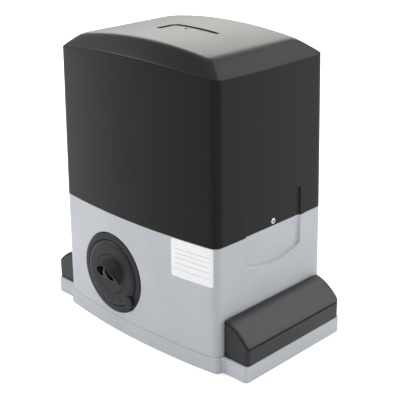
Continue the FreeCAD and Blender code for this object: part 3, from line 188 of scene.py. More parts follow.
# --- base housing ---------------------------------------------------------------------------------
# The lower casing: a drafted box with bowed walls on a slab whose ends stand out as feet, cast in
# aluminium and powder-coated light grey. A lip on its rim goes up inside the cover, and a round pocket
# in front takes the release.
split = 164.5
plan_half_x, plan_half_y, corner_radius = 140, 98, 10
bow = {"front": 11, "back": 2, "side": 1}
base_draft, cover_draft = 0.49, 0.87
recess_middle, recess_half = 2.7, 50.9
recess_deep, recess_slope = 2.2, 0.045
screw_x, screw_y, screw_z = 136.3, 3.7, 170.4
clip_x, clip_y = 145.5, 35
axle_x, axle_z = -38, 81
across_reach = 130
across = [-126 + i * 5.25 for i in range(49)]
edge_left, edge_right = recess_middle - recess_half, recess_middle + recess_half
lip_step = 0.5
hollow_steps = (0.3, 0.8, 1.5, 2.4, 3.5, 4.6, 5.8)
along = ([-84, -79, -75, -68, -61, -54, edge_left - 1.6, edge_left]
         + [edge_left + step for step in hollow_steps] + [edge_left + 8.5 + i * 84.8 / 14 for i in range(15)]
         + [edge_right - step for step in reversed(hollow_steps)]
         + [edge_right, edge_right + 1.6, 60, 67, 74, 79, 84])
corner_steps, corner_pull = 9, 0.58


def halves(height, inset, draft):
    """Half the length and half the depth of the plan at one height."""
    drop = inset + (height - split) * math.tan(math.radians(draft))
    return plan_half_x - drop, plan_half_y - drop


def outline_points(height, inset, draft, corner=corner_radius):
    """Points round the plan at one height: front, right, back and left walls and their corners."""
    half_x, half_y = halves(height, inset, draft)
    turn = corner - inset
    flat_x, flat_y = half_x - turn, half_y - turn
    spans = {"front": (half_y, half_x), "back": (half_y, half_x), "side": (half_x, half_y)}

    def wall(kind, at):
        out, run = spans[kind]
        return out + bow[kind] * (1 - (at / run) ** 2)

    def slope(kind, at):
        return -2 * bow[kind] * at / spans[kind][1] ** 2

    def curve(start, start_way, end, end_way):
        start, end = Vector(start), Vector(end)
        pull = (start, start + Vector(start_way).normalized() * turn * corner_pull,
                end - Vector(end_way).normalized() * turn * corner_pull, end)
        points = []
        for i in range(corner_steps + 1):
            t = i / corner_steps
            weights = ((1 - t) ** 3, 3 * t * (1 - t) ** 2, 3 * t * t * (1 - t), t ** 3)
            points.append(sum((p * w for p, w in zip(pull, weights)), Vector((0, 0))))
        return points

    reach_x = flat_x / across_reach
    front = [Vector((x * reach_x, -wall("front", x * reach_x))) for x in across]
    back = [Vector((x * reach_x, wall("back", x * reach_x))) for x in reversed(across)]
    half = curve((flat_x, -wall("front", flat_x)), (1, -slope("front", flat_x)),
                 (wall("side", flat_y), -flat_y), (slope("side", -flat_y), 1))
    half += [Vector((wall("side", y), y)) for y in along]
    half += curve((wall("side", flat_y), flat_y), (slope("side", flat_y), 1),
                  (flat_x, wall("back", flat_x)), (-1, -slope("back", flat_x)))
    return front + half + back + [Vector((-p.x, p.y)) for p in reversed(half)]


def recess_share(point, half_x):
    """How far across the recess a point on a side wall is, from -1 to 1, or None beside it."""
    if abs(point.x) < half_x - 2:
        return None
    share = (point.y - recess_middle) / recess_half
    return share if abs(share) <= 1.0001 else None


def recess_x(point, z):
    """Where a point of the side wall goes in the recess: onto a floor that lies deeper under the wall
    towards the foot, and runs into the recess's upright walls in a hollow fillet as large as it is deep."""
    deep = recess_deep + recess_slope * max(split - z, 0)
    from_edge = min(max(recess_half - abs(point.y - recess_middle), 0), deep)
    return math.copysign(abs(point.x) - math.sqrt(deep ** 2 - (deep - from_edge) ** 2), point.x)


def wall_rows(levels, draft, rim, way, arch_z, arch_rise):
    """Rings up a wall with the recess's half on one side of its arch, where way is 1 for under it and -1
    for over it. A level is a height and its share of the arch's rise, and the rim a height and an inset."""
    rows = []
    for level_z, share_of_rise in levels:
        half_x, _ = halves(level_z, 0, draft)
        row = []
        for point in outline_points(level_z, rim[1] if level_z == rim[0] else 0, draft):
            x, y, z = point.x, point.y, level_z
            share = recess_share(point, half_x)
            if share is not None:
                z += way * share_of_rise * arch_rise * (1 - share * share)
                if abs(share) < 0.9999 and way * (arch_z - level_z) > 0.1:
                    x = recess_x(point, z)
            row.append((x, y, z))
        rows.append(row)
    return rows


def plain_mesh(name, points, faces=()):
    """A mesh in metres from points in millimetres."""
    mesh = bpy.data.meshes.new(name)
    mesh.from_pydata([tuple(c / 1000 for c in p) for p in points], [], faces)
    return mesh


def grid_mesh(name, rows):
    """A mesh from rings of points, each ring joined to the next."""
    count = len(rows[0])
    faces = [(low + i, low + (i + 1) % count, low + count + (i + 1) % count, low + count + i)
             for low in range(0, count * (len(rows) - 1), count) for i in range(count)]
    return plain_mesh(name, [p for row in rows for p in row], faces)


def opened(mesh):
    """An editable copy of a mesh."""
    shape = bmesh.new()
    shape.from_mesh(mesh)
    return shape


def put_back(item, shape):
    """Give an object the shape that was edited."""
    shape.to_mesh(item.data)
    shape.free()


def closed(name, shape):
    """A new object from an edited shape."""
    item = link_object(name, bpy.data.meshes.new(name))
    put_back(item, shape)
    return item


def settle(item, materials):
    """Turn an object's modifiers into its plain mesh."""
    graph = bpy.context.evaluated_depsgraph_get()
    mesh = bpy.data.meshes.new_from_object(item.evaluated_get(graph), depsgraph=graph)
    item.modifiers.clear()
    item.data = mesh
    mesh.materials.clear()
    for material in materials:
        mesh.materials.append(material)
    return item


def modify(item, kind, **settings):
    """Give an object one modifier and settle it at once."""
    modifier = item.modifiers.new(kind.lower(), kind)
    for key, value in settings.items():
        setattr(modifier, key, value)
    return settle(item, list(item.data.materials))


def carve(item, tool, operation="DIFFERENCE"):
    """Cut, join or intersect an object with a tool, which is used up."""
    modify(item, "BOOLEAN", object=tool, operation=operation, solver="EXACT")
    bpy.data.objects.remove(tool)
    return item


def prism(name, outline, low, high, axis="Z"):
    """A closed prism over an outline, which may run either way round."""
    if sum(a[0] * b[1] - b[0] * a[1] for a, b in zip(outline, outline[1:] + outline[:1])) < 0:
        outline = outline[::-1]
    first = {"Z": 0, "Y": 1, "X": 2}[axis]
    count = len(outline)
    points = [((*p, height) * 2)[first:first + 3] for height in (low, high) for p in outline]
    faces = [tuple(reversed(range(count))), tuple(range(count, 2 * count))]
    faces += [(i, (i + 1) % count, (i + 1) % count + count, i + count) for i in range(count)]
    return link_object(name, plain_mesh(name, points, faces))


def disc_outline(middle, radius, steps=64, start=0):
    """Points anticlockwise round a circle, from a turn in degrees on."""
    turns = [math.radians(start) + 2 * math.pi * i / steps for i in range(steps)]
    return [(middle[0] + radius * math.cos(turn), middle[1] + radius * math.sin(turn)) for turn in turns]


def round_cutter(name, x, z, radius, low=-130, high=-90, steps=64):
    return prism(name, disc_outline((z, x), radius, steps), low, high, "Y")


def quarter(middle, radius, number, steps):
    """Points anticlockwise round one quarter of a circle, from a number of quarters on."""
    turns = [math.pi / 2 * (number + i / steps) for i in range(steps + 1)]
    return [(middle[0] + radius * math.cos(turn), middle[1] + radius * math.sin(turn)) for turn in turns]


def rounded_rectangle(half_x, half_y, radius, steps=8, middle=(0, 0)):
    points = []
    for number, (way_x, way_y) in enumerate(((1, 1), (-1, 1), (-1, -1), (1, -1))):
        corner = (middle[0] + way_x * (half_x - radius), middle[1] + way_y * (half_y - radius))
        points += quarter(corner, radius, number, steps)
    return points


def bend(start, pull, end, steps):
    """Points on a soft curve from start to end, drawn towards a third point."""
    return [tuple((1 - t) ** 2 * a + 2 * t * (1 - t) * b + t * t * c for a, b, c in zip(start, pull, end))
            for t in (i / steps for i in range(steps + 1))]


def merge(name, items):
    """One object from several, whose meshes are kept side by side."""
    shape = bmesh.new()
    for item in items:
        shape.from_mesh(item.data)
        bpy.data.objects.remove(item)
    return closed(name, shape)


def finish_edges(item, width, angle=28, segments=3, where=None):
    """Round the sharp edges, or those of them in one part of the piece, then shade it."""
    shape = opened(item.data)
    weight = shape.edges.layers.float.new("bevel_weight_edge")
    for edge in shape.edges:
        middle = (edge.verts[0].co + edge.verts[1].co) * 500
        sharp = len(edge.link_faces) == 2 and edge.calc_face_angle(0) > math.radians(angle)
        edge[weight] = 1.0 if sharp and (where is None or where(middle)) else 0.0
    put_back(item, shape)
    modify(item, "BEVEL", width=width / 1000, segments=segments, limit_method="WEIGHT",
           use_clamp_overlap=False, miter_outer="MITER_ARC")
    return shade(item)


def shade(item, sharp=40):
    """Smooth shading that keeps edges over an angle sharp."""
    shape = opened(item.data)
    for face in shape.faces:
        face.smooth = True
    for edge in shape.edges:
        edge.smooth = len(edge.link_faces) == 2 and edge.calc_face_angle(0) < math.radians(sharp)
    put_back(item, shape)
    return modify(item, "WEIGHTED_NORMAL", keep_sharp=True)


band_top, band_proud, band_corner = 21.5, 0.3, 5


def base_wall():
    """The wall's outer skin, with the lower half of the recess in each side. Below the foot line a band
    stands proud of it and turns a tighter corner."""
    arch_low, arch_rise = 126.5, 11.7
    levels = [(band_top, 0), (22.2, 0), (24, 0), *((z, 0) for z in range(30, 110, 10)), (107, 0), (114, 0.35),
              (122, 0.9), (arch_low - 1.4, 1), (arch_low, 1), (arch_low + lip_step, 1), (arch_low + 2.1, 1),
              (134, 0.7), (142, 0.35), (150, 0.1), (157, 0), (162, 0), (split - 0.5, 0), (split, 0)]
    band = [(0, 0.6), (0.6, 0), (8, 0), (16, 0), (band_top - 0.6, 0), (band_top - 0.15, 0.12),
            (band_top, 0.35)]
    rows = [[(p.x, p.y, z) for p in outline_points(z, soft - band_proud, base_draft, band_corner)]
            for z, soft in band]
    return grid_mesh("base_wall", rows + wall_rows(levels, base_draft, (split, 0.45), -1, arch_low, arch_rise))


wall = link_object("base_wall", base_wall())
modify(wall, "SOLIDIFY", thickness=0.005, offset=-1, use_even_offset=True, use_rim=True)
carve(wall, round_cutter("pocket", axle_x + 0.8, axle_z + 0.5, 55.4, -125, -100, 128))


def foot_slab():
    """The slab under the walls. Its front edge flows into the housing's corner in a hollow curve."""
    slab_half_x, slab_half_y, slab_corner = 181.1, 90.9, 5
    outer = [(x, y) for x, y in rounded_rectangle(slab_half_x, slab_half_y, slab_corner, 10) if x > 160]
    lower, upper = [p for p in outer if p[1] < 0], [p for p in outer if p[1] > 0]
    flow = bend((139.6, -95.6), (141.2, -91.2), (147, -slab_half_y), 8)
    back_flow = [(x, -y) for x, y in reversed(flow)]
    right_half = [(132, -88), (134, -96)] + flow + lower + upper + back_flow + [(134, 96), (132, 88)]
    return right_half + [(-x, -y) for x, y in right_half]


slab = prism("foot_slab", foot_slab(), 0, band_top)
slot_x, slot_y, slab_under, slab_over = 163, 65, -5, 30
for side in (-1, 1):
    for way in (-1, 1):
        slot = rounded_rectangle(10, 5.5, 5.4, 8, (side * slot_x, way * slot_y))
        carve(slab, prism("slot", slot, slab_under, slab_over))
    for way in (-1, 1):
        clip_way = rounded_rectangle(2, 6.5, 0.5, 2, (side * clip_x, way * clip_y))
        carve(slab, prism("clip_way", clip_way, slab_under, slab_over))
cable_middle, cable_radius, slab_thick = (46, -52), 20, 6
carve(slab, prism("cable_way", disc_outline(cable_middle, cable_radius), slab_under, slab_over))
carve(slab, prism("hollow", [(p.x, p.y) for p in outline_points(0, 4, base_draft)], slab_thick, 40))
finish_edges(slab, 0.7)

lip_low, lip_turn, lip_top, lip_out, lip_in = 158, 171.5, 172.5, 3.4, 6
lip_rows = [[(p.x, p.y, level_z) for p in outline_points(level_z, inset, cover_draft)]
            for level_z, inset in ((lip_low, lip_out), (165, lip_out), (lip_turn, lip_out), (lip_top, 4.2),
                                   (lip_top, lip_in), (lip_low, lip_in))]
lip_shape = opened(grid_mesh("lip", lip_rows + [lip_rows[0]]))
bmesh.ops.remove_doubles(lip_shape, verts=lip_shape.verts, dist=1e-6)
lip = closed("base_lip", lip_shape)
for side in (-1, 1):
    # the lip stops short of the recess, where the cover's wall comes in
    near, far = side * 130 - 20, side * 130 + 20
    gap = [(near, edge_left - 7), (far, edge_left - 7), (far, edge_right + 7), (near, edge_right + 7)]
    carve(lip, prism("lip_gap", gap, split - 7, 190))
cup = round_cutter("pocket_back", axle_x, axle_z, 58.6, -103.5, -97, 96)
carve(cup, round_cutter("cup_room", axle_x, axle_z, 55.2, -125, -101.2, 128))
carve(cup, round_cutter("cup_way", axle_x, axle_z, 30, -125))
# an upright tab at each side takes the clamp screw in a slot that is open at the top
tab_wide, tab_top, tab_near, tab_far = 14, 182.4, 128.5, 131.1
slot_wide, slot_low = 3, 167.2
tab = [(screw_y - tab_wide, split - 20), (screw_y + tab_wide, split - 20), (screw_y + tab_wide, tab_top),
       (screw_y + slot_wide, tab_top), (screw_y + slot_wide, slot_low), (screw_y - slot_wide, slot_low),
       (screw_y - slot_wide, tab_top), (screw_y - tab_wide, tab_top)]
tabs = [prism("clamp_tab", tab, *sorted((side * tab_near, side * tab_far)), "X") for side in (-1, 1)]
finish_edges(wall, 0.6, angle=30, segments=3,
             where=lambda p: (abs(p.x) > 125 and 100 < p.z < split - 1) or (p.y < -100 and 20 < p.z < 140))
base_housing = merge("base_housing_shell", [shade(wall), slab, *(shade(item) for item in (lip, cup, *tabs))])


def moulded(name, tones, roughness, grain, relief, gloss=0.5, cloud=60, specks=None):
    """A moulding or a coat of powder. Its tone drifts a little over the cloud size, and a fine grain
    stands in its surface, both in millimetres. Specks are a colour, a share and a size."""
    material, tree, place = fresh_material(name)
    grains = noise(tree, place, grain, 2, 0.6)
    colour = tinted(tree, spread(tree, noise(tree, place, cloud, 3, 0.55), 0.3, 0.7), *tones)
    fine = spread(tree, grains, 0.2, 0.8, 0.94, 1.06)
    colour = put(tree, "ShaderNodeVectorMath", {0: colour, 3: fine}, operation="SCALE").outputs[0]
    if specks:
        speck_tone, speck_share, speck_size = specks
        share = spread(tree, noise(tree, place, speck_size), speck_share, speck_share + 0.05)
        colour = tinted(tree, share, colour, speck_tone)
    rough = spread(tree, grains, 0.25, 0.75, roughness - 0.05, roughness + 0.05)
    principled(tree, {"Base Color": colour, "Roughness": rough, "Normal": bumped(tree, grains, relief),
                      "IOR": 1.5, "Specular IOR Level": gloss})
    return material


# light grey powder coat on cast aluminium: matt and slightly mottled, with a few stray dark specks
base_grey = moulded("powder_coat_light_grey", ("#b6b9be", "#bdc0c5"), 0.5, 1.6, 0.02, gloss=0.35,
                    specks=("#a6a9ae", 0.72, 5))
paint(base_housing, base_grey)
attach(base_housing, "base")
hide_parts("base_housing")


# --- rating label ---------------------------------------------------------------------------------
# A white self-adhesive polyester label near the front wall's right edge. It follows the wall's bow, and
# is left blank but for its ruled lines.
def front_skin(x, z):
    """Where the base's front wall is."""
    half_x, half_y = halves(z, 0, base_draft)
    return -(half_y + bow["front"] * (1 - (x / half_x) ** 2))


label_low, label_high = (72.5, 114.8), (135, 164)
label_mid = [(low + high) / 2 for low, high in zip(label_low, label_high)]
label_steps, label_corner, label_turns_x, label_proud = 30, 2, 130.5, 0.3
label_points = []
for j in range(label_steps + 1):
    for i in range(label_steps + 1):
        x, z = (low + (high - low) * step / label_steps
                for low, high, step in zip(label_low, label_high, (i, j)))
        inset_x = min(x - label_low[0], label_high[0] - x)
        inset_z = min(z - label_low[1], label_high[1] - z)
        if inset_x < label_corner and inset_z < label_corner:
            pull = 0.6 * (1 - inset_x / label_corner) * (1 - inset_z / label_corner)
            x -= math.copysign(pull, x - label_mid[0])
            z -= math.copysign(pull, z - label_mid[1])
        # the wall's corner begins inside the label's right edge, so the sheet turns with it
        y = front_skin(x, z) + max(0, x - label_turns_x) ** 2 * 0.05
        label_points.append((x, y - label_proud, z))
label_faces = [(first, first + 1, first + label_steps + 2, first + label_steps + 1)
               for j in range(label_steps)
               for first in range(j * (label_steps + 1), j * (label_steps + 1) + label_steps)]
label = link_object("rating_label_sheet", plain_mesh("rating_label_sheet", label_points, label_faces))
modify(label, "SOLIDIFY", thickness=0.00025, offset=-1)
shade(label)

label_white, tree, place = fresh_material("satin_polyester_label")
sides = put(tree, "ShaderNodeSeparateXYZ", {0: place}).outputs
rules_middle, rules_half, rule_half_thick, rule_strength = 103.5, 26, 0.35, 0.6
rules = None
for line_z in (152, 146, 140, 133, 125):
    off = maths(tree, "SUBTRACT", sides["Z"], line_z / 1000)
    rule = maths(tree, "COMPARE", off, 0.0, rule_half_thick / 1000)
    rules = rule if rules is None else maths(tree, "MAXIMUM", rules, rule)
between_ends = maths(tree, "COMPARE", sides["X"], rules_middle / 1000, rules_half / 1000)
ink = maths(tree, "MULTIPLY", maths(tree, "MULTIPLY", rules, between_ends), rule_strength)
film = tinted(tree, spread(tree, noise(tree, place, 9), 0.3, 0.7), "#f6f6f6", "#efefef")
principled(tree, {"Base Color": tinted(tree, ink, film, "#8c8c8e"), "Roughness": 0.4,
                  "Specular IOR Level": 0.4})
paint(label, label_white)
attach(label, "base")
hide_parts("rating_label")


# --- cover ----------------------------------------------------------------------------------------
# One tall moulding in black textured ABS: drafted walls, a bowed bevel on all four sides of a crowned
# roof, a shallow panel in the roof, and in each side the recess where a screw clamps it to the base.
crease_z, crease_arch = 362.7, 10
roof_half_x, roof_half_y = halves(crease_z, 0, cover_draft)
ridge_z, crown_fall = 391.9, 8.18
bevel_reach, front_bevel, back_bevel, side_bevel = 60, (0.92, 0.004), (0.779, 0.0039), (0.883, 0.0054)


def soft_least(heights, blend):
    """The least of some heights, with a soft hollow where two of them meet."""
    least = heights[0]
    for height in heights[1:]:
        gap = max(blend - abs(least - height), 0) / blend
        least = min(least, height) - gap * gap * blend / 4
    return least


def bevel_heights(x, y):
    """Heights of the front, back and side bevels over a point of the plan: each leaves its crease
    steeply and flattens as it climbs."""
    share = min(1, (x / roof_half_x) ** 2)
    arch = crease_arch * (1 - share)
    pull = arch * math.tan(math.radians(cover_draft))

    def climb(low, run, rise, ease):
        run = min(run, bevel_reach)
        return low + rise * run - ease * run ** 2

    return (climb(crease_z + arch, roof_half_y + bow["front"] * (1 - share) - pull + y, *front_bevel),
            climb(crease_z + arch, roof_half_y + bow["back"] * (1 - share) - pull - y, *back_bevel),
            climb(crease_z, roof_half_x - abs(x), *side_bevel))


def crown_height(x):
    return ridge_z - crown_fall * (x / 100) ** 2


def roof_height(x, y):
    """Height of the cover's top over a point of its plan."""
    mitre_blend, crown_blend = 6, 3
    return soft_least([soft_least(bevel_heights(x, y), mitre_blend), crown_height(x)], crown_blend)


def cover_skin():
    """The outer skin as rings: up the wall, over a soft crease, up the bevels and in over the crown."""
    arch_top, arch_rise = 201.5, 10.3
    low = split + 0.3
    walls = [(low, 0), (low + 0.4, 0), (167, 0), (172, 0.2), (180, 0.5), (188, 0.8), (194, 0.95), (199.2, 1),
             (arch_top - lip_step, 1), (arch_top, 1), (203, 1), (208, 0.8), (216, 0.4), (226, 0.1), (238, 0)]
    wall_end = walls[-1][0]
    climb = [0.15, 0.3, 0.45, 0.6, 0.75, 0.88, 0.96]
    crease_soft = 1.3
    medial = roof_half_x - roof_half_y
    rows = wall_rows(walls, cover_draft, (low, 0.4), 1, arch_top, arch_rise)
    known = {}

    def outline_at(height, i):
        key = round(height, 1)
        if key not in known:
            known[key] = outline_points(key, 0, cover_draft)
        return known[key][i]

    def on_wall(height, i):
        return (*outline_at(height, i), height)

    bevel_rows = [0.05, 0.12, 0.22, 0.34, 0.48, 0.62, 0.75, 0.85, 0.91, 0.95, 0.98, 1.0, 1.02, 1.05, 1.09,
                  1.15, 1.25]
    crown_rows = [0.08, 0.2, 0.35, 0.5, 0.65, 0.8, 0.97]
    columns = []
    for i, start in enumerate(outline_points(crease_z, 0, cover_draft)):
        edge = outline_at(roof_height(start.x, start.y), i)
        height = roof_height(edge.x, edge.y)
        rest = Vector((max(-medial, min(medial, edge.x * medial / (roof_half_x - corner_radius))), 0))
        run = (rest - edge).length

        def over(t):
            p = edge + (rest - edge) * t
            return Vector((*p, roof_height(*p)))

        # where the column reaches the crown
        near, far = 0.0, 0.7
        for _ in range(24):
            t = (near + far) / 2
            p = over(t)
            if min(bevel_heights(p.x, p.y)) < crown_height(p.x):
                near = t
            else:
                far = t
        column = [on_wall(wall_end + (height - crease_soft - wall_end) * part, i) for part in climb]
        start_t = crease_soft / run
        first, peak, last = Vector(on_wall(height - crease_soft, i)), Vector((*edge, height)), over(start_t)
        for step in (0, 0.2, 0.4, 0.6, 0.8, 1):
            column.append(tuple(first * (1 - step) ** 2 + peak * 2 * step * (1 - step) + last * step ** 2))
        turn_t = max(near, start_t * 3)
        column += [tuple(over(start_t + (turn_t - start_t) * part)) for part in bevel_rows]
        column += [tuple(over(start_t + (turn_t - start_t) * 1.25 * (1 - part) + (1 - start_t) * part * 0.999))
                   for part in crown_rows]
        columns.append(column)
    return rows + list(zip(*columns))


cover_shape = opened(grid_mesh("cover_skin", cover_skin()))
crown_rim = [e for e in cover_shape.edges if e.is_boundary and e.verts[0].co.z > 0.3]
bmesh.ops.triangle_fill(cover_shape, use_beauty=True, edges=crown_rim)
bmesh.ops.recalc_face_normals(cover_shape, faces=cover_shape.faces)
cover = closed("cover_shell_moulding", cover_shape)
modify(cover, "SOLIDIFY", thickness=0.003, offset=-1, use_even_offset=True, use_rim=True)

# the shallow panel in the roof, with a dimple where a badge would sit
panel_low, panel_high, panel_deep, panel_turn = (-26, -31), (51, 2.5), 1.3, 7
panel_outline = [(panel_low[0], panel_low[1]), (panel_high[0], panel_low[1]), (panel_high[0], panel_high[1])]
panel_outline += quarter((panel_low[0] + panel_turn, panel_high[1] - panel_turn), panel_turn, 1, 8)


def sunk_tool(name, outline, deep):
    """A prism whose underside follows the roof at a depth."""
    steps = 14
    tool = prism(name, outline, 0, 420)
    shape = opened(tool.data)
    low, high = min(p[0] for p in outline), max(p[0] for p in outline)
    for k in range(1, steps):
        x = low + (high - low) * k / steps
        bmesh.ops.bisect_plane(shape, geom=shape.verts[:] + shape.edges[:] + shape.faces[:],
                               plane_co=(x / 1000, 0, 0), plane_no=(1, 0, 0))
    for vert in shape.verts:
        if vert.co.z < 0.1:
            vert.co.z = (crown_height(vert.co.x * 1000) - deep) / 1000
    put_back(tool, shape)
    return tool


carve(cover, sunk_tool("panel_tool", panel_outline, panel_deep))
dimple_middle, dimple_radius, dimple_deep = (3.5, -8), 2.1, 0.8
carve(cover, sunk_tool("dimple_tool", disc_outline(dimple_middle, dimple_radius, 24), panel_deep + dimple_deep))
hole_radius, hole_x = 2.9, 131
for side in (-1, 1):
    carve(cover, prism("screw_hole", disc_outline((screw_y, screw_z), hole_radius, 32),
                       side * hole_x - 8, side * hole_x + 8, "X"))
finish_edges(cover, 0.6, angle=30,
             where=lambda p: abs(p.x) > 125 and p.z < 215 and abs(p.y - recess_middle) < 56)

# black ABS with a fine spark-eroded texture: it scatters what it reflects into a broad, dull sheen
cover_black = moulded("textured_abs_black", ("#0a0a0a", "#0d0d0c"), 0.39, 1.3, 0.008, gloss=0.14, cloud=90)
paint(cover, cover_black)
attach(cover, "cover")
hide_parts("cover_shell")


# --- cover screws ---------------------------------------------------------------------------------
# Two zinc-plated pan head screws, one in each recess, that pull the cover onto the base's tabs. Each is
# headed and rolled from steel wire, and stays captive on the cover with its nut.
screw_sizes = ("Head Radius", "Head Height", "Crown Radius", "Recess Wide", "Recess Deep", "Shank Radius",
               "Shank Length", "Thread Pitch")


def fastener_nodes():
    """Geometry nodes that stand a screw on every point: a rounded or six-sided head, a cross recess,
    and a threaded shank below it."""
    tree = bpy.data.node_groups.new("threaded_fastener", "GeometryNodeTree")
    kinds = {"Geometry": "Geometry", "Head Sides": "Int", "Stand": "Vector", "Finish": "Material"}
    for name in ("Geometry", *screw_sizes, "Head Sides", "Stand", "Finish"):
        tree.interface.new_socket(name, in_out="INPUT", socket_type="NodeSocket" + kinds.get(name, "Float"))
    tree.interface.new_socket("Geometry", in_out="OUTPUT", socket_type="NodeSocketGeometry")
    given = put(tree, "NodeGroupInput").outputs
    sides, shank_long = given["Head Sides"], given["Shank Length"]

    def times(first, second):
        return maths(tree, "MULTIPLY", first, second)

    def raised(mesh, height):
        lift = put(tree, "ShaderNodeCombineXYZ", {"Z": height}).outputs[0]
        return put(tree, "GeometryNodeTransform", {"Geometry": mesh, "Translation": lift}).outputs[0]

    def joined(kind, meshes, inputs=None, socket="Mesh 2", **settings):
        whole = put(tree, kind, inputs, **settings)
        for mesh in meshes:
            tree.links.new(mesh, whole.inputs[socket])
        return whole.outputs[0]

    skirt_high = times(given["Head Height"], 0.55)
    skirt = put(tree, "GeometryNodeMeshCylinder", {"Vertices": sides, "Radius": given["Head Radius"],
                                                   "Depth": skirt_high}).outputs["Mesh"]
    dome = put(tree, "GeometryNodeMeshCone", {
        "Vertices": sides, "Radius Top": given["Crown Radius"], "Radius Bottom": given["Head Radius"],
        "Depth": times(given["Head Height"], 0.46)}).outputs["Mesh"]
    arms = []
    arm_deep, arm_wide = times(given["Recess Deep"], 2.0), given["Recess Wide"]
    arm_long = times(arm_wide, 3.6)
    for first, second in ((arm_wide, arm_long), (arm_long, arm_wide)):
        size = put(tree, "ShaderNodeCombineXYZ", {"X": first, "Y": second, "Z": arm_deep}).outputs[0]
        arm = put(tree, "GeometryNodeMeshCube", {"Size": size}).outputs["Mesh"]
        arms.append(raised(arm, given["Head Height"]))
    blank = joined("GeometryNodeMeshBoolean",
                   (raised(skirt, times(skirt_high, 0.5)), raised(dome, times(skirt_high, 0.999))),
                   operation="UNION", solver="EXACT")
    head = joined("GeometryNodeMeshBoolean", arms, {"Mesh 1": blank}, operation="DIFFERENCE", solver="EXACT")
    shank = put(tree, "GeometryNodeMeshCylinder", {
        "Vertices": 20, "Radius": times(given["Shank Radius"], 0.9), "Depth": shank_long}).outputs["Mesh"]
    threaded, thread_radius = times(shank_long, 0.9), times(given["Shank Radius"], 0.88)
    helix = put(tree, "GeometryNodeCurveSpiral", {
        "Resolution": 14, "Rotations": maths(tree, "DIVIDE", threaded, given["Thread Pitch"]),
        "Height": threaded, "Start Radius": thread_radius, "End Radius": thread_radius}).outputs["Curve"]
    ridge = put(tree, "GeometryNodeCurvePrimitiveCircle", {
        "Resolution": 4, "Radius": times(given["Thread Pitch"], 0.32)}, mode="RADIUS").outputs["Curve"]
    thread = put(tree, "GeometryNodeCurveToMesh", {"Curve": helix, "Profile Curve": ridge,
                                                   "Fill Caps": True}).outputs["Mesh"]
    body = joined("GeometryNodeJoinGeometry",
                  (head, raised(shank, times(shank_long, -0.5)), raised(thread, times(shank_long, -0.95))),
                  socket=0)
    placed = put(tree, "GeometryNodeInstanceOnPoints", {"Points": given["Geometry"], "Instance": body,
                                                        "Rotation": given["Stand"]}).outputs[0]
    real = put(tree, "GeometryNodeRealizeInstances", {"Geometry": placed}).outputs[0]
    coated = put(tree, "GeometryNodeSetMaterial", {"Geometry": real, "Material": given["Finish"]}).outputs[0]
    put(tree, "NodeGroupOutput", {"Geometry": coated})
    return tree


def screws(name, points, stand, sizes, sides):
    """A screw on each point, in millimetres: the node tree is run and its result kept as a plain mesh."""
    given = dict(zip(screw_sizes, (size / 1000 for size in sizes)))
    given.update({"Head Sides": sides, "Stand": stand, "Finish": bright_zinc})
    item = link_object(name, plain_mesh(name, points))
    modifier = item.modifiers.new("grown", "NODES")
    modifier.node_group = fastener
    for socket in fastener.interface.items_tree:
        if socket.in_out == "INPUT" and socket.name in given:
            modifier[socket.identifier] = given[socket.name]
    return settle(item, [bright_zinc])


def plated(name, tones, roughness, grain, relief, streak=(1, 1, 1), patches=12):
    """A bare or plated metal. Its tone drifts between patches, and a grain stands in it that can be drawn
    out along an axis as tool marks are. Sizes in millimetres."""
    material, tree, place = fresh_material(name)
    drawn = put(tree, "ShaderNodeMapping", {"Vector": place, "Scale": streak}).outputs[0]
    marks = noise(tree, drawn, grain, 3, 0.6)
    colour = tinted(tree, spread(tree, noise(tree, place, patches), 0.3, 0.7), *tones)
    rough = spread(tree, marks, 0.25, 0.75, roughness - 0.07, roughness + 0.09)
    principled(tree, {"Base Color": colour, "Metallic": 1.0, "Roughness": rough,
                      "Normal": bumped(tree, marks, relief)})
    return material


# bright zinc plate with its thin clear passivation: a cool silver that is a little cloudy
bright_zinc = plated("bright_zinc_plate", ("#d3d7da", "#c2c6c4"), 0.3, 1.2, 0.01, patches=5)
fastener = fastener_nodes()
for side, label in ((1, "right"), (-1, "left")):
    screw = screws(f"{label}_cover_screw", [(side * screw_x, screw_y, screw_z)], (0, side * math.pi / 2, 0),
                   (4.3, 2.9, 3.2, 1.4, 2.4, 2.5, 14, 0.8), 36)
    finish_edges(screw, 0.25, angle=20, segments=2, where=lambda p: abs(p.x) > 135)
    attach(screw, "cover")
    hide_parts("cover_screws")


def coat(material, *names):
    """Give CAD pieces whose shape is right their finish."""
    for name in names:
        paint(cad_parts[name], material)


coat(bright_zinc, "cover_clamp_nuts")


# --- bolt covers ----------------------------------------------------------------------------------
# A hollow black cover over the foundation bolts at each foot: a bowed lid with a soft nose at each end
# sits on an upright box, with a fine groove between them. Two clips reach down into the foot.
lid_wall_x, lid_face_x, lid_reach_y = 142.6, 181, 88.2
lid_floor_z, lid_crease_z, lid_top_z, lid_bow = 21.8, 45.4, 71, 5.2
lid_corner, nose_long, nose_drop = 5, 3.6, 0.9
groove_high, groove_deep = 1.5, 2
lid_middle = (lid_face_x - lid_wall_x) / 2


